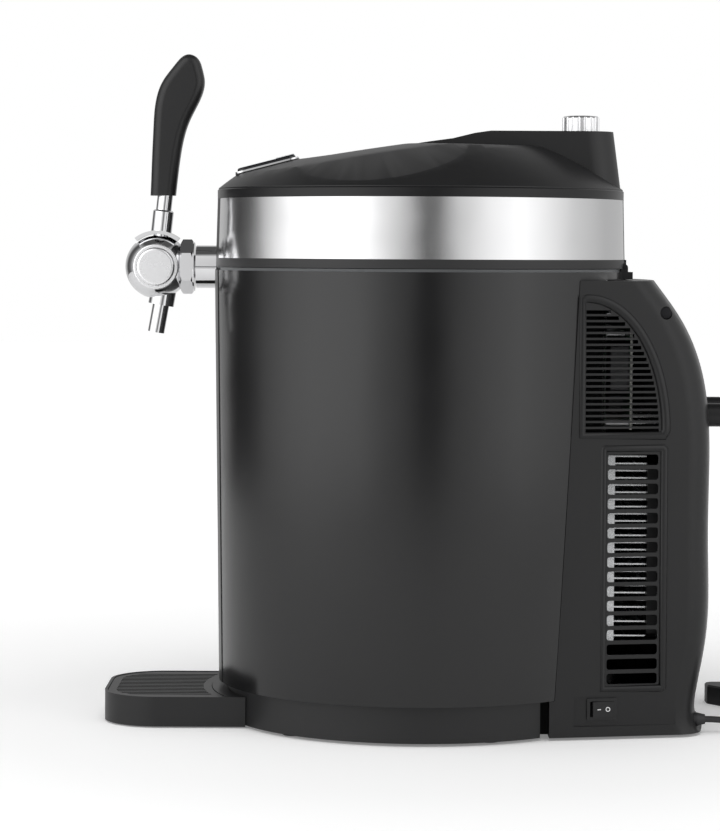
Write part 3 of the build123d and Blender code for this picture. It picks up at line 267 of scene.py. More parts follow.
def grown(name, lay, sizes, material, body, slot):
    """A repeated form laid out by a node tree with these named sizes, kept as a plain mesh."""
    tree = bpy.data.node_groups.new(name, "GeometryNodeTree")
    tree.interface.new_socket(name="Geometry", in_out="INPUT", socket_type="NodeSocketGeometry")
    tree.interface.new_socket(name="Geometry", in_out="OUTPUT", socket_type="NodeSocketGeometry")
    sockets = {}
    for label, value in sizes.items():
        kind = "NodeSocketFloat"
        if isinstance(value, int):
            kind = "NodeSocketInt"
        if isinstance(value, tuple):
            kind = "NodeSocketVector"
        sockets[label] = tree.interface.new_socket(name=label, in_out="INPUT", socket_type=kind)
    given = tree.nodes.new("NodeGroupInput")
    result = tree.nodes.new("NodeGroupOutput")
    laid = lay(tree, given)
    plain = tree.nodes.new("GeometryNodeRealizeInstances")
    coat = tree.nodes.new("GeometryNodeSetMaterial")
    coat.inputs["Material"].default_value = material
    tree.links.new(laid, plain.inputs["Geometry"])
    tree.links.new(plain.outputs["Geometry"], coat.inputs["Geometry"])
    tree.links.new(coat.outputs["Geometry"], result.inputs["Geometry"])
    seed = placed(name + "_seed", bpy.data.meshes.new(name + "_seed"))
    steps = seed.modifiers.new("layout", "NODES")
    steps.node_group = tree
    for label, value in sizes.items():
        steps[sockets[label].identifier] = value
    scene_now = bpy.context.evaluated_depsgraph_get()
    mesh = bpy.data.meshes.new_from_object(seed.evaluated_get(scene_now))
    bpy.data.objects.remove(seed)
    mesh.name = name
    return finished(name, mesh, body, slot)


def copies_on(tree, spots, form):
    """The node that sets a copy of the form on every spot."""
    copies = tree.nodes.new("GeometryNodeInstanceOnPoints")
    tree.links.new(spots, copies.inputs["Points"])
    tree.links.new(form, copies.inputs["Instance"])
    return copies


def screw_head(tree, given):
    """One pan head with a cross recess, standing on its seat and facing up."""
    radius = given.outputs["Head radius"]
    height = given.outputs["Head height"]
    head = tree.nodes.new("GeometryNodeMeshCone")
    head.inputs["Vertices"].default_value = 28
    tree.links.new(radius, head.inputs["Radius Bottom"])
    tree.links.new(number(tree, "MULTIPLY", radius, CROWN_SHARE), head.inputs["Radius Top"])
    tree.links.new(height, head.inputs["Depth"])
    cut = tree.nodes.new("GeometryNodeMeshBoolean")
    cut.operation = "DIFFERENCE"
    cut.solver = "EXACT"
    tree.links.new(head.outputs["Mesh"], cut.inputs[0])
    for turn in (0.0, math.pi / 2):
        groove = tree.nodes.new("GeometryNodeMeshCube")
        size = tree.nodes.new("ShaderNodeCombineXYZ")
        tree.links.new(number(tree, "MULTIPLY", radius, GROOVE_LENGTH), size.inputs["X"])
        tree.links.new(number(tree, "MULTIPLY", radius, GROOVE_WIDTH), size.inputs["Y"])
        tree.links.new(height, size.inputs["Z"])
        tree.links.new(size.outputs["Vector"], groove.inputs["Size"])
        lift = tree.nodes.new("ShaderNodeCombineXYZ")
        tree.links.new(height, lift.inputs["Z"])
        place = tree.nodes.new("GeometryNodeTransform")
        place.inputs["Rotation"].default_value = (0.0, 0.0, turn)
        tree.links.new(groove.outputs["Mesh"], place.inputs["Geometry"])
        tree.links.new(lift.outputs["Vector"], place.inputs["Translation"])
        tree.links.new(place.outputs["Geometry"], cut.inputs[1])
    return cut.outputs["Mesh"]


def screw_circle(tree, given):
    """Screw heads around a circle, facing down."""
    circle = tree.nodes.new("GeometryNodeMeshCircle")
    tree.links.new(given.outputs["Count"], circle.inputs["Vertices"])
    tree.links.new(given.outputs["Circle radius"], circle.inputs["Radius"])
    set_down = tree.nodes.new("GeometryNodeTransform")
    tree.links.new(circle.outputs["Mesh"], set_down.inputs["Geometry"])
    tree.links.new(given.outputs["Centre"], set_down.inputs["Translation"])
    copies = copies_on(tree, set_down.outputs["Geometry"], screw_head(tree, given))
    copies.inputs["Rotation"].default_value = (math.pi, 0.0, 0.4)
    return copies.outputs["Instances"]


base_plastic = moulded("base_plastic", (0.0115, 0.0115, 0.012), 0.42, 1400.0, 0.00012)
smoothed("plinth_moulding", "plinth", "cabinet", "trim_plastic", base_plastic)
smoothed("cover_moulding", "bottom_cover", "cabinet", "trim_plastic", base_plastic)
dress(base_plastic, "cord_tie")
foot_rubber = moulded("foot_rubber", (0.02, 0.02, 0.02), 0.8, 700.0, 0.0003, 0.25)
smoothed("foot_pads", "rubber_feet", "cabinet", "rubber", foot_rubber)
zinc = metal("zinc", (0.5, 0.5, 0.51), 0.35, (300.0, 300.0, 300.0), 0.00005)
cover_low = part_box("bottom_cover")[0]
grown("cover_screws", screw_circle,
      {"Count": 8, "Circle radius": 0.096, "Centre": (0.0, 0.0, cover_low[2]),
       "Head radius": 0.0032, "Head height": 0.0012}, zinc, "cabinet", "steel")

# Drum. The outer tub of the cabinet, moulded in black plastic with a smooth satin face. A glossy black
# strip is clipped down its front, and a short ledge carries the lid's hinge at the rear.
drum_plastic = moulded("drum_plastic", (0.0080, 0.0080, 0.0084), 0.17, 2200.0, 0.00001, 0.5)
smoothed("drum_tub", "drum_shell", "cabinet", "drum_plastic", drum_plastic)
strip_plastic = moulded("strip_plastic", (0.0085, 0.0085, 0.009), 0.3, 2400.0, 0.00002, 0.3)
smoothed("front_trim", "front_strip", "cabinet", "trim_plastic", strip_plastic)

# Chamber. A spun aluminium liner stands in poured foam, under a grey plastic deck with a rubber seal,
# with a galvanised steel bulkhead at the rear.
liner_metal = metal("liner_metal", (0.62, 0.63, 0.64), 0.3, (30.0, 30.0, 900.0), 0.00004)
smoothed("spun_liner", "chamber_liner", "cabinet", "liner_aluminium", liner_metal)
grey_plastic = moulded("grey_plastic", (0.26, 0.27, 0.28), 0.42, 900.0, 0.0001)
smoothed("deck_moulding", "top_deck", "cabinet", "inner_plastic", grey_plastic)
foam = moulded("foam", (0.72, 0.66, 0.5), 0.9, 500.0, 0.0006, 0.2)
dress(foam, "insulation", "lid_foam")
smoothed("lid_gasket", "lid_seal", "cabinet", "rubber", foot_rubber)
dress(zinc, "bulkhead")

# Cooling unit. An aluminium block and the white thermoelectric module carry the cold in; an extruded
# sink with twenty-seven fins and a fan in a black frame carry the heat out. A strip of black foam
# along the middle of the fins is painted shade: it fills each gap so that the gaps look dark.
bare_aluminium = metal("bare_aluminium", (0.76, 0.77, 0.78), 0.26, (400.0, 12.0, 400.0), 0.00003)
dress(bare_aluminium, "cold_block", "heat_sink")
ceramic = moulded("ceramic", (0.8, 0.8, 0.78), 0.6, 1200.0, 0.0001)
dress(ceramic, "thermo_module")
fan_plastic = moulded("fan_plastic", (0.016, 0.016, 0.017), 0.38, 1500.0, 0.0001)
smoothed("fan_housing", "fan_frame", "cabinet", "fan_plastic", fan_plastic)
smoothed("fan_wheel", "fan_rotor", "fan", "fan_plastic", fan_plastic)


def along_line(tree, given, form):
    """Copies of the form set out along a straight line."""
    line = tree.nodes.new("GeometryNodeMeshLine")
    line.mode = "OFFSET"
    tree.links.new(given.outputs["Count"], line.inputs["Count"])
    tree.links.new(given.outputs["First"], line.inputs["Start Location"])
    tree.links.new(given.outputs["Step"], line.inputs["Offset"])
    return copies_on(tree, line.outputs["Mesh"], form).outputs["Instances"]


def row_of_blocks(tree, given):
    """Equal blocks set out along a straight line."""
    block = tree.nodes.new("GeometryNodeMeshCube")
    tree.links.new(given.outputs["Block"], block.inputs["Size"])
    return along_line(tree, given, block.outputs["Mesh"])


def row_of_beads(tree, given):
    """Small round beads set out along a straight line."""
    drop = tree.nodes.new("GeometryNodeMeshIcoSphere")
    drop.inputs["Subdivisions"].default_value = 2
    tree.links.new(given.outputs["Bead radius"], drop.inputs["Radius"])
    return along_line(tree, given, drop.outputs["Mesh"])


FIN_GAPS = 26
FIN_WALL = 0.001
FOAM_GAP = 0.0001
sink_low, sink_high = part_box("heat_sink")
# Black blocks between the fins at their middle: painted shade that keeps the gaps between the fins
# dark.
fin_gap_shade = moulded("fin_gap_shade", (0.012, 0.012, 0.012), 0.95, 600.0, 0.0005, 0.1)
fin_step = (sink_high[2] - sink_low[2] - FIN_WALL) / FIN_GAPS
first_foam = (sink_low[0] + 0.016, 0.0, sink_low[2] + FIN_WALL + (fin_step - FIN_WALL) / 2)
grown("fin_gap_shade_strip", row_of_blocks,
      {"Count": FIN_GAPS, "First": first_foam, "Step": (0.0, 0.0, fin_step),
       "Block": (0.0214, 0.003, fin_step - FIN_WALL - FOAM_GAP)}, fin_gap_shade, "cabinet", "foam")

# Power board. A green lacquered board stands on four steel pillars behind the upper louvre, with a
# transformer, a relay and three capacitors on its inner face and three cooling plates on its outer
# face. Its bare glass-fibre edge and the row of solder points along it show through the slots.
board_lacquer = moulded("board_lacquer", (0.02, 0.11, 0.04), 0.35, 1800.0, 0.00004)
tree = board_lacquer.node_tree
spot = tree.nodes.new("ShaderNodeTexCoord")
facing = tree.nodes.new("ShaderNodeSeparateXYZ")
tree.links.new(spot.outputs["Normal"], facing.inputs["Vector"])
cut_edge = number(tree, "LESS_THAN", number(tree, "ABSOLUTE", facing.outputs["X"]), 0.5)
fibre = tree.nodes.new("ShaderNodeMix")
fibre.data_type = "RGBA"
fibre.inputs[7].default_value = (0.86, 0.86, 0.8, 1.0)
tree.links.new(cut_edge, fibre.inputs["Factor"])
pigment = [node for node in tree.nodes if node.bl_idname == "ShaderNodeValToRGB"][0]
tree.links.new(pigment.outputs["Color"], fibre.inputs[6])
tree.links.new(fibre.outputs[2], tree.nodes["Principled BSDF"].inputs["Base Color"])


def blocks(name, corners, bevel, body, slot, material, *nodes):
    """One piece made of bevelled blocks, each given by its lowest and highest corner."""
    form = bmesh.new()
    for low, high in corners:
        made = bmesh.ops.create_cube(form, size=1.0)
        low = Vector(low)
        high = Vector(high)
        bmesh.ops.scale(form, verts=made["verts"], vec=high - low)
        bmesh.ops.translate(form, verts=made["verts"], vec=(low + high) / 2)
    if bevel:
        bmesh.ops.bevel(form, geom=form.edges[:], offset=bevel, segments=2, affect="EDGES",
                        profile=0.5)
    return shaped(name, form, material, body, slot, *nodes)


BOARD_X = 0.1432
BOARD_THICKNESS = 0.0016
CAN_RADIUS = 0.006
CAN_HEIGHT = 0.0139
PLATE_REACH = 0.018
board_face = BOARD_X + BOARD_THICKNESS
blocks("circuit_board", [((BOARD_X, -0.048, 0.205), (board_face, 0.048, 0.290))], 0.0, "cabinet",
       "circuit_board", board_lacquer, "power_board")
part_plastic = moulded("part_plastic", (0.1, 0.1, 0.105), 0.4, 900.0, 0.00005)
blocks("board_parts", [((BOARD_X - 0.013, -0.042, 0.232), (BOARD_X, -0.018, 0.262)),
                       ((BOARD_X - 0.010, 0.006, 0.214), (BOARD_X, 0.030, 0.226))], 0.0006,
       "cabinet", "circuit_board", part_plastic)
can_metal = metal("can_metal", (0.7, 0.7, 0.71), 0.25, (60.0, 60.0, 60.0), 0.00002)
form = bmesh.new()
for y in (-0.008, 0.006, 0.020):
    middle = Matrix.Translation((BOARD_X - CAN_HEIGHT / 2, y, 0.270))
    bmesh.ops.create_cone(form, cap_ends=True, segments=32, radius1=CAN_RADIUS, radius2=CAN_RADIUS,
                          depth=CAN_HEIGHT, matrix=middle @ Matrix.Rotation(math.pi / 2, 4, "Y"))
rims = [edge for edge in form.edges if edge.calc_face_angle(0.0) > 1.0]
bmesh.ops.bevel(form, geom=rims, offset=0.0007, segments=3, affect="EDGES", profile=0.5)
shaped("capacitors", form, can_metal, "cabinet", "circuit_board")
plates = []
for level in range(3):
    z = 0.2090 + 0.0046 * level
    plates.append(((board_face, -0.044, z), (board_face + PLATE_REACH, 0.0, z + 0.0012)))
blocks("cooling_plates", plates, 0.0, "cabinet", "aluminium", bare_aluminium)
solder = metal("solder", (0.78, 0.78, 0.79), 0.3, (200.0, 200.0, 200.0), 0.00002)
for side, mark in ((-1, "near"), (1, "far")):
    grown("solder_row_" + mark, row_of_beads,
          {"Count": 20, "First": (board_face, side * 0.0462, 0.2085), "Step": (0.0, 0.0, 0.0042),
           "Bead radius": 0.0009}, solder, "cabinet", "circuit_board")
dress(zinc, "board_standoffs", "tap_shank")
blackened_steel = metal("blackened_steel", (0.03, 0.03, 0.032), 0.45, (300.0, 300.0, 300.0),
                        0.00003)
dress(blackened_steel, "housing_screws", "hinge_pin")

# Rear housing. One moulding in black ABS with a matt spark-eroded face. Each flank has a fine louvre
# under a quarter oval and a coarse one below it, both framed by a rounded bead. Two dark cards stand
# inside the flank away from the camera, behind its louvres, as painted shade so the slots look dark,
# and a rail closes the joint to the plinth.
FLANK_HALF_WIDTH = 0.108
FLANK_DRAFT = 0.024
FLANK_TAPER = 0.175
FLANK_X0 = 0.086
FLANK_Z0 = 0.002
OVAL_X = 0.1092
OVAL_Z = 0.20735
OVAL_REACH = 0.0546
OVAL_RISE = 0.0886
OVAL_STEPS = 32
FINE_X0 = 0.1062
FINE_X1 = 0.1620
FINE_Z0 = 0.2036
FINE_Z1 = 0.2952
housing_plastic = moulded("housing_plastic", (0.0095, 0.0095, 0.0099), 0.34, 1500.0, 0.00008, 0.36)
smoothed("housing_moulding", "rear_housing", "cabinet", "housing_plastic", housing_plastic)


def flank_y(x, z):
    """Half width of the housing's drafted and tapered flank."""
    return FLANK_HALF_WIDTH - FLANK_DRAFT * (z - FLANK_Z0) - FLANK_TAPER * (x - FLANK_X0)


def bead(name, route, radius, depth, material):
    """A closed rounded bead along (x, z) points, lying on both flanks of the housing."""
    line = bpy.data.curves.new(name, "CURVE")
    line.dimensions = "3D"
    for side in (-1, 1):
        strand = line.splines.new("POLY")
        strand.points.add(len(route) - 1)
        for point, (x, z) in zip(strand.points, route):
            point.co = (x, side * (flank_y(x, z) - depth), z, 1.0)
        strand.use_cyclic_u = True
        strand.use_smooth = True
    line.bevel_depth = radius
    line.bevel_resolution = 4
    line.materials.append(material)
    return finished(name, line, "cabinet", "housing_plastic")


quarter = []
for step in range(OVAL_STEPS + 1):
    turn = math.pi / 2 * step / OVAL_STEPS
    quarter.append((OVAL_X + OVAL_REACH * math.cos(turn), OVAL_Z + OVAL_RISE * math.sin(turn)))
bead("fine_louvre_bead",
     [(FINE_X0, FINE_Z0), (FINE_X1, FINE_Z0)] + quarter + [(FINE_X0, FINE_Z1)], 0.0036, 0.0030,
     housing_plastic)
bead("coarse_louvre_bead",
     [(0.1214, 0.0338), (0.1620, 0.0338), (0.1630, 0.0348), (0.1630, 0.1942), (0.1618, 0.1956),
      (0.1225, 0.1956), (0.1214, 0.1945)], 0.0030, 0.0026, housing_plastic)
# Near-black matt cards inside the flank away from the camera, behind the louvres: painted shade that
# keeps the slots dark. The joint rail is of the same black.
shade_and_rail_card = moulded("shade_and_rail_black", (0.008, 0.008, 0.008), 0.85, 300.0, 0.0001, 0.15)
blocks("louvre_shade_cards", [((0.1261, 0.0540, 0.194), (0.1600, 0.0550, 0.290)),
                      ((0.1261, 0.0620, 0.031), (0.1600, 0.0630, 0.0582))], 0.0, "cabinet",
       "inner_plastic", shade_and_rail_card)
blocks("joint_rail", [((0.0801, -0.098, 0.003), (0.0859, 0.098, 0.0262))], 0.0005, "cabinet",
       "trim_plastic", shade_and_rail_card)

# Rocker switch. A glossy black snap-in bezel and its key, which carries a bar for on and a ring for
# off, printed white and a little raised. The key tilts 7 degrees and its two halves flare out.
KEY_X = 0.1218
KEY_Z = 0.0207
KEY_TILT = math.radians(7.0)
KEY_FLARE = 0.1216
KEY_FACE = 0.0010
BAR_X = -0.0028
BAR_SIZE = (0.0026, 0.0006, 0.0001)
RING_X = 0.0034
RING_OUTER = 0.00160
RING_INNER = 0.00105
RING_HEIGHT = 0.00006
RING_STEPS = 28
switch_plastic = moulded("switch_plastic", (0.009, 0.009, 0.0095), 0.2, 2500.0, 0.00001)
smoothed("switch_frame", "switch_bezel", "cabinet", "switch_plastic", switch_plastic)
smoothed("rocker_key", "switch_key", "rocker", "switch_plastic", switch_plastic)
lean = math.atan(FLANK_TAPER)
flank_frame = Matrix(((math.cos(lean), 0.0, math.sin(lean), KEY_X),
                      (math.sin(lean), 0.0, -math.cos(lean), -flank_y(KEY_X, KEY_Z)),
                      (0.0, 1.0, 0.0, KEY_Z),
                      (0.0, 0.0, 0.0, 1.0)))
key_frame = (flank_frame @ Matrix.Translation((0.0, 0.0, -0.0027))
             @ Matrix.Rotation(KEY_TILT, 4, "Y") @ Matrix.Translation((0.0, 0.0, 0.0025)))


def on_key(x):
    """The frame of a mark on the key, at this distance from the key's middle."""
    flare = math.copysign(math.atan(KEY_FLARE), -x)
    return (key_frame @ Matrix.Translation((x, 0.0, KEY_FACE + KEY_FLARE * abs(x)))
            @ Matrix.Rotation(flare, 4, "Y"))


print_white = moulded("print_white", (0.85, 0.85, 0.85), 0.5, 1200.0, 0.00001)
form = bmesh.new()
bmesh.ops.create_cube(form, size=1.0, matrix=on_key(BAR_X) @ Matrix.Diagonal((*BAR_SIZE, 1.0)))
rings = []
for radius, height in ((RING_OUTER, 0.0), (RING_OUTER, RING_HEIGHT), (RING_INNER, RING_HEIGHT),
                       (RING_INNER, 0.0)):
    loop = []
    for step in range(RING_STEPS):
        turn = 2 * math.pi * step / RING_STEPS
        spot = Vector((radius * math.cos(turn), radius * math.sin(turn), height))
        loop.append(form.verts.new(on_key(RING_X) @ spot))
    rings.append(loop)
for inner, outer in zip(rings, rings[1:] + rings[:1]):
    for step in range(RING_STEPS):
        after = (step + 1) % RING_STEPS
        form.faces.new((inner[step], inner[after], outer[after], outer[step]))
shaped("key_marks", form, print_white, "rocker", "switch_plastic")

# Tap. Chrome-plated brass, polished: the valve ball, its round caps, the nut, the half sleeves, the
# spout, and the lever with its saddle and collar. The grip is black plastic with a silky face.
chrome = metal("chrome", (0.8, 0.8, 0.81), 0.06, (60.0, 60.0, 60.0), 0.000004)
smoothed("valve_ball", "tap_body", "cabinet", "chrome", chrome)
cap_chrome = metal("cap_chrome", (0.86, 0.86, 0.87), 0.26, (60.0, 60.0, 60.0), 0.000004)
smoothed("valve_caps", "tap_caps", "cabinet", "chrome", cap_chrome)
smoothed("hex_nut", "tap_nut", "cabinet", "chrome", chrome, 24.0)
smoothed("spout_tube", "spout", "cabinet", "chrome", chrome)
smoothed("lever_stem", "tap_lever", "lever", "chrome", chrome)
smoothed("drum_sleeve", "lower_sleeve", "cabinet", "chrome", chrome)
smoothed("lid_sleeve", "upper_sleeve", "lid", "chrome", chrome)
grip_plastic = moulded("grip_plastic", (0.013, 0.013, 0.0135), 0.34, 1600.0, 0.00005)
smoothed("lever_grip", "tap_grip", "lever", "grip_plastic", grip_plastic, 40.0)

# Lid. The skirt with its strips, the brushed steel band let into it, the black rim and the domed shell
# with the regulator hump. Under it a grey liner holds the poured foam, turning on a steel hinge pin.
skirt_plastic = moulded("skirt_plastic", (0.0105, 0.0105, 0.011), 0.48, 2000.0, 0.00003, 0.5)
smoothed("skirt_moulding", "lid_skirt", "lid", "trim_plastic", skirt_plastic)
band_steel = metal("band_steel", (0.66, 0.66, 0.665), 0.17, (5.0, 5.0, 1500.0), 0.00005)
tree = band_steel.node_tree
brushing = tree.nodes.new("ShaderNodeTangent")
brushing.direction_type = "RADIAL"
brushing.axis = "Z"
band_shader = tree.nodes["Principled BSDF"]
tree.links.new(brushing.outputs["Tangent"], band_shader.inputs["Tangent"])
band_shader.inputs["Anisotropic"].default_value = 0.7
band_shader.inputs["Anisotropic Rotation"].default_value = 0.25
smoothed("brushed_band", "steel_band", "lid", "brushed_steel", band_steel)
smoothed("rim_moulding", "lid_rim", "lid", "trim_plastic", strip_plastic)
dome_plastic = moulded("dome_plastic", (0.0090, 0.0090, 0.0094), 0.40, 2000.0, 0.00003, 0.42)
smoothed("dome_moulding", "lid_shell", "lid", "dome_plastic", dome_plastic, 24.0)
smoothed("liner_moulding", "lid_liner", "lid", "inner_plastic", grey_plastic)

# Display. A chromed bezel lies on the lid's front slope and holds a dark glass pane over the board,
# with a silver key pad at its upper end. Faint grey segments of an unlit two-digit reading stand
# under the pane. The slope's foot and head are given as (x, z).
SLOPE_FOOT = (-0.1348, 0.3772)
SLOPE_HEAD = (-0.0847, 0.3902)
DISPLAY_X = -0.1064
DIGIT_X = -0.0065
DIGIT_Y = 0.0085
PANE_FACE = 0.00335
SEGMENT_ACROSS = (0.0012, 0.0068, 0.0001)
SEGMENT_ALONG = (0.0068, 0.0012, 0.0001)
smoothed("bezel_frame", "display_bezel", "lid", "chrome", chrome)
pane_glass = moulded("pane_glass", (0.006, 0.007, 0.009), 0.06, 100.0, 0.000001, 0.5)
smoothed("glass_pane", "display_glass", "lid", "dark_glass", pane_glass, 20.0)
dress(board_lacquer, "display_board")
pitch = math.atan2(SLOPE_HEAD[1] - SLOPE_FOOT[1], SLOPE_HEAD[0] - SLOPE_FOOT[0])
display_z = SLOPE_FOOT[1] + (DISPLAY_X - SLOPE_FOOT[0]) * math.tan(pitch)
slope_frame = (Matrix.Translation((DISPLAY_X, 0.0, display_z))
               @ Matrix.Rotation(-pitch, 4, "Y"))


def slope_block(form, centre, size):
    """Adds a block of this size to the form, lying at a place on the display's slope."""
    bmesh.ops.create_cube(form, size=1.0, matrix=slope_frame @ Matrix.Translation(centre)
                          @ Matrix.Diagonal((*size, 1.0)))


key_silver = metal("key_silver", (0.62, 0.63, 0.64), 0.3, (900.0, 40.0, 900.0), 0.00002)
form = bmesh.new()
slope_block(form, (0.0135, 0.0, 0.00365), (0.0130, 0.046, 0.0007))
bmesh.ops.bevel(form, geom=form.edges[:], offset=0.0003, segments=2, affect="EDGES", profile=0.5)
shaped("key_pad", form, key_silver, "lid", "dark_glass")
segment_grey = moulded("segment_grey", (0.05, 0.056, 0.06), 0.3, 600.0, 0.00001)
form = bmesh.new()
for centre in (-DIGIT_Y, DIGIT_Y):
    for x, y, size in ((0.0085, 0.0, SEGMENT_ACROSS), (0.0, 0.0, SEGMENT_ACROSS),
                       (-0.0085, 0.0, SEGMENT_ACROSS), (0.00425, 0.0042, SEGMENT_ALONG),
                       (0.00425, -0.0042, SEGMENT_ALONG), (-0.00425, 0.0042, SEGMENT_ALONG),
                       (-0.00425, -0.0042, SEGMENT_ALONG)):
        slope_block(form, (x + DIGIT_X, centre + y, PANE_FACE), size)
shaped("reading_segments", form, segment_grey, "lid", "dark_glass")

# Pressure knob. A fluted chromed knob on the hump, with a black disc let into its top and a white
# pointer, and a scale of thirteen raised marks around it.
KNOB_X = 0.1115
DISC_HEIGHT = 0.0002
POINTER_HEIGHT = 0.0001
DIAL_Z = 0.40905
knob_metal = metal("knob_metal", (0.88, 0.88, 0.89), 0.34, (60.0, 60.0, 60.0), 0.000004)
smoothed("fluted_knob", "pressure_knob", "knob", "chrome", knob_metal, 28.0)
knob_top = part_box("pressure_knob")[1][2]
form = bmesh.new()
bmesh.ops.create_cone(form, cap_ends=True, segments=64, radius1=0.0092, radius2=0.0089,
                      depth=DISC_HEIGHT,
                      matrix=Matrix.Translation((KNOB_X, 0.0, knob_top + DISC_HEIGHT / 2)))
shaped("knob_disc", form, strip_plastic, "knob", "chrome")
disc_top = knob_top + DISC_HEIGHT
blocks("knob_pointer", [((KNOB_X - 0.008, -0.0004, disc_top),
                         (KNOB_X - 0.003, 0.0004, disc_top + POINTER_HEIGHT))], 0.0, "knob",
       "chrome", print_white)


def dial_marks(tree, given):
    """Short bars standing square to an arc."""
    arc = tree.nodes.new("GeometryNodeCurveArc")
    tree.links.new(given.outputs["Count"], arc.inputs["Resolution"])
    tree.links.new(given.outputs["Arc radius"], arc.inputs["Radius"])
    arc.inputs["Start Angle"].default_value = math.radians(45.0)
    arc.inputs["Sweep Angle"].default_value = math.radians(270.0)
    move = tree.nodes.new("GeometryNodeTransform")
    tree.links.new(arc.outputs["Curve"], move.inputs["Geometry"])
    tree.links.new(given.outputs["Centre"], move.inputs["Translation"])
    spots = tree.nodes.new("GeometryNodeCurveToPoints")
    spots.mode = "EVALUATED"
    tree.links.new(move.outputs["Geometry"], spots.inputs["Curve"])
    bar = tree.nodes.new("GeometryNodeMeshCube")
    tree.links.new(given.outputs["Mark"], bar.inputs["Size"])
    copies = copies_on(tree, spots.outputs["Points"], bar.outputs["Mesh"])
    tree.links.new(spots.outputs["Rotation"], copies.inputs["Rotation"])
    return copies.outputs["Instances"]


grown("dial_scale", dial_marks,
      {"Count": 13, "Arc radius": 0.0163, "Centre": (KNOB_X, 0.0, DIAL_Z),
       "Mark": (0.0020, 0.0002, 0.0006)}, print_white, "lid", "dome_plastic")

# Gas supply. A brass regulator under the knob, a soft hose down to the keg's coupling, and the small
# steel cartridge in its grey screw-on holder.
brass = metal("brass", (0.7, 0.52, 0.25), 0.22, (200.0, 200.0, 200.0), 0.00002)
smoothed("regulator_body", "gas_regulator", "lid", "brass", brass)
cartridge_steel = metal("cartridge_steel", (0.6, 0.61, 0.62), 0.2, (100.0, 100.0, 100.0), 0.00002)
smoothed("cartridge_body", "gas_cartridge", "gas_holder", "cartridge_steel", cartridge_steel)
smoothed("holder_moulding", "cartridge_holder", "gas_holder", "inner_plastic", grey_plastic)
smoothed("hose_line", "gas_line", "lid", "hose", foot_rubber)

# Drip tray. A round-fronted tray slides in under the tap, with a slotted grille resting in it, both
# moulded in the same black as the base.
smoothed("tray_moulding", "drip_tray", "tray", "trim_plastic", base_plastic)
smoothed("grille_moulding", "drip_grille", "grille", "trim_plastic", base_plastic)
dress(cord_rubber, "mains_plug", "strain_relief")
dress(chrome, "plug_pins")

# Studio. A white worktop and surround with three soft lamps. A round reflector wall stands about the
# machine for what its gloss mirrors: bright cards at the left and right of the camera, a dark gap at
# the camera itself and another behind the tap. Its top is cut off aslant where a dark canopy begins,
# which only the gloss sees. The wall's cards are given by bearing from the camera and brightness.
WALL_RADIUS = 1.6
WALL_SIDES = 96
WALL_FOOT = 0.02
WALL_EYE = 0.3
CANOPY_AXIS = (0.0, 0.259, 0.966)
CANOPY_EDGE = 0.707
SEAM_GREY = 0.275
worktop_mesh = bpy.data.meshes.new("worktop")
worktop_mesh.from_pydata([(-8, -8, 0), (8, -8, 0), (8, 8, 0), (-8, 8, 0)], [], [(0, 1, 2, 3)])
worktop = placed("worktop", worktop_mesh)
worktop_paint = bpy.data.materials.new("worktop_paint")
worktop_paint.use_nodes = True
tree = worktop_paint.node_tree
paint = tree.nodes["Principled BSDF"]
paint.inputs["Base Color"].default_value = (0.9, 0.9, 0.9, 1.0)
paint.inputs["Roughness"].default_value = 0.7
paint.inputs["Specular IOR Level"].default_value = 0.1
paint.inputs["Emission Color"].default_value = (1.0, 1.0, 1.0, 1.0)


def seen_by_eye(tree, mirrored=1.0):
    """One for what the camera sees itself or through glass, mirrored for what it sees in a gloss."""
    ways = tree.nodes.new("ShaderNodeLightPath")
    in_gloss = number(tree, "MULTIPLY", ways.outputs["Is Glossy Ray"], mirrored)
    direct = number(tree, "MAXIMUM", ways.outputs["Is Camera Ray"], in_gloss)
    return number(tree, "MAXIMUM", direct, ways.outputs["Is Transmission Ray"])


# The worktop's glow, seen by the camera and faintly in gloss, is painted light: weakest near the
# machine, a painted shade about its foot, and strongest far off, so the worktop turns white towards
# the horizon.
place = tree.nodes.new("ShaderNodeTexCoord")
away = tree.nodes.new("ShaderNodeVectorMath")
away.operation = "LENGTH"
tree.links.new(place.outputs["Object"], away.inputs[0])
painted_light_by_distance = tree.nodes.new("ShaderNodeMapRange")
painted_light_by_distance.inputs["From Min"].default_value = 0.3
painted_light_by_distance.inputs["From Max"].default_value = 1.3
painted_light_by_distance.inputs["To Min"].default_value = 0.20
painted_light_by_distance.inputs["To Max"].default_value = 0.62
tree.links.new(away.outputs["Value"], painted_light_by_distance.inputs["Value"])
worktop_painted_glow = number(tree, "MULTIPLY", painted_light_by_distance.outputs["Result"], seen_by_eye(tree, 0.25))
tree.links.new(worktop_painted_glow, paint.inputs["Emission Strength"])
worktop_mesh.materials.append(worktop_paint)

wall_mesh = bpy.data.meshes.new("reflector_wall")
form = bmesh.new()
foot = []
top = []
for step in range(WALL_SIDES):
    turn = 2 * math.pi * step / WALL_SIDES
    x = WALL_RADIUS * math.cos(turn)
    y = WALL_RADIUS * math.sin(turn)
    foot.append(form.verts.new((x, y, WALL_FOOT)))
    reach = -CANOPY_AXIS[1] * math.sin(turn)
    rise = (math.asin(CANOPY_EDGE / math.hypot(reach, CANOPY_AXIS[2]))
            + math.atan(reach / CANOPY_AXIS[2]))
    top.append(form.verts.new((x, y, WALL_EYE + WALL_RADIUS * math.tan(rise))))
for step in range(WALL_SIDES):
    after = (step + 1) % WALL_SIDES
    form.faces.new((foot[after], foot[step], top[step], top[after]))
form.to_mesh(wall_mesh)
form.free()
reflector_wall = placed("reflector_wall", wall_mesh)
reflector_wall.visible_camera = False
reflector_wall.visible_diffuse = False
reflector_wall.visible_transmission = False
reflector_wall.visible_volume_scatter = False
reflector_wall.visible_shadow = False
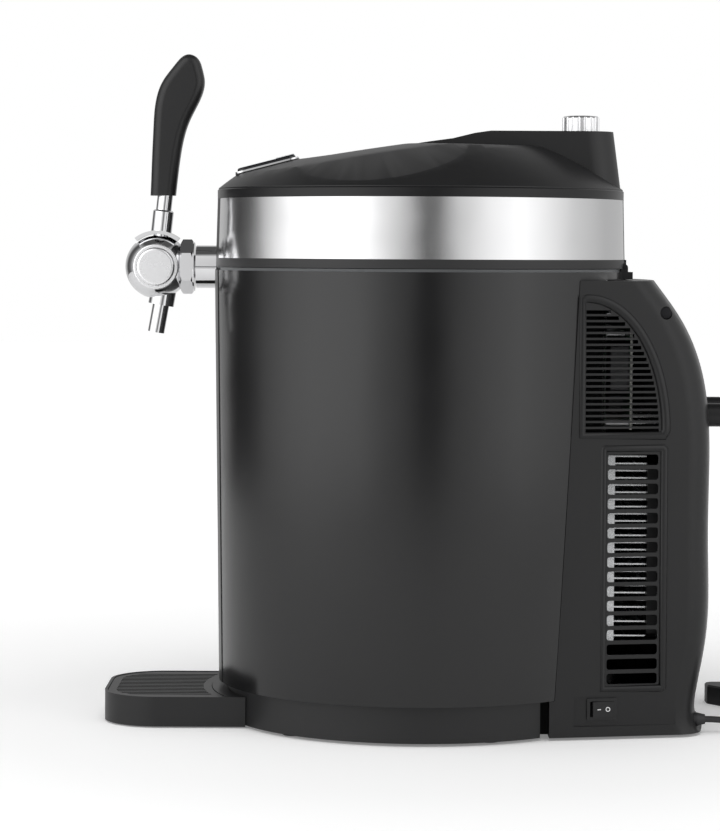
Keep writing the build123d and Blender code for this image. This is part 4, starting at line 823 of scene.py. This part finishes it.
card_light = bpy.data.materials.new("card_light")
card_light.use_nodes = True
tree = card_light.node_tree
tree.nodes.remove(tree.nodes["Principled BSDF"])
glow = tree.nodes.new("ShaderNodeEmission")
glow.inputs["Strength"].default_value = 2.0
tree.links.new(glow.outputs["Emission"], tree.nodes["Material Output"].inputs["Surface"])
place = tree.nodes.new("ShaderNodeTexCoord")
parts = tree.nodes.new("ShaderNodeSeparateXYZ")
tree.links.new(place.outputs["Object"], parts.inputs["Vector"])
towards_camera = number(tree, "MULTIPLY", parts.outputs["Y"], -1.0)
around = tree.nodes.new("ShaderNodeMapRange")
around.inputs["From Min"].default_value = -math.pi
around.inputs["From Max"].default_value = math.pi
tree.links.new(number(tree, "ARCTAN2", parts.outputs["X"], towards_camera), around.inputs["Value"])
cards = tree.nodes.new("ShaderNodeValToRGB")
tree.links.new(around.outputs["Result"], cards.inputs["Fac"])
tree.links.new(cards.outputs["Color"], glow.inputs["Color"])
bearings = ((-150, 0.62), (-137, 0.5), (-127, 0.15), (-120, 0.07), (-108, 0.16), (-101, 0.35),
            (-94, 0.76), (-75, 1.6), (-60, 1.95), (-45, 1.95), (-33, 1.85), (-21, 1.2), (-8, 0.7),
            (-3, 0.4), (2, 0.16), (8, 0.22), (18, 0.78), (36, 1.3), (54, 1.6), (74, 1.2),
            (90, 0.88), (120, 0.62))
for index in (0, 1):
    seam = cards.color_ramp.elements[index]
    seam.position = index
    seam.color = (SEAM_GREY, SEAM_GREY, SEAM_GREY, 1.0)
for bearing, strength in bearings:
    stop = cards.color_ramp.elements.new((bearing + 180) / 360)
    stop.color = (strength / 2, strength / 2, strength / 2, 1.0)
wall_mesh.materials.append(card_light)

surround = bpy.data.worlds.new("surround")
bpy.context.scene.world = surround
surround.use_nodes = True
tree = surround.node_tree
tree.nodes["Background"].inputs["Color"].default_value = (1.0, 1.0, 1.0, 1.0)
room = tree.nodes.new("ShaderNodeMapRange")
room.inputs["To Min"].default_value = 0.45
room.inputs["To Max"].default_value = 1.0
tree.links.new(seen_by_eye(tree), room.inputs["Value"])
place = tree.nodes.new("ShaderNodeTexCoord")
heading = tree.nodes.new("ShaderNodeVectorMath")
heading.operation = "DOT_PRODUCT"
heading.inputs[1].default_value = CANOPY_AXIS
tree.links.new(place.outputs["Generated"], heading.inputs[0])
overhead = tree.nodes.new("ShaderNodeMapRange")
overhead.inputs["From Min"].default_value = 0.60
overhead.inputs["From Max"].default_value = 0.86
tree.links.new(heading.outputs["Value"], overhead.inputs["Value"])
ways = tree.nodes.new("ShaderNodeLightPath")
canopy = number(tree, "MULTIPLY", overhead.outputs["Result"], ways.outputs["Is Glossy Ray"])
shade = tree.nodes.new("ShaderNodeMix")
tree.links.new(canopy, shade.inputs["Factor"])
tree.links.new(room.outputs["Result"], shade.inputs[2])
shade.inputs[3].default_value = 0.09
tree.links.new(shade.outputs[0], tree.nodes["Background"].inputs["Strength"])


def lamp(name, spot, aim, size, watts):
    """A soft rectangular lamp that lights the object without showing in its gloss."""
    light = bpy.data.lights.new(name, "AREA")
    light.shape = "RECTANGLE"
    light.size = size[0]
    light.size_y = size[1]
    light.energy = watts
    holder = placed(name, light)
    holder.location = spot
    holder.rotation_euler = (Vector(aim) - Vector(spot)).to_track_quat("-Z", "Y").to_euler()
    holder.visible_glossy = False


lamp("top_lamp", (-0.2, -0.6, 2.0), (0.0, 0.0, 0.25), (1.6, 1.2), 16.0)
lamp("left_lamp", (-1.9, -1.0, 0.9), (0.0, 0.0, 0.25), (0.8, 1.4), 9.0)
lamp("right_lamp", (1.8, -1.3, 0.8), (0.0, 0.0, 0.25), (0.6, 1.2), 5.0)
bpy.context.scene.view_settings.view_transform = "Standard"
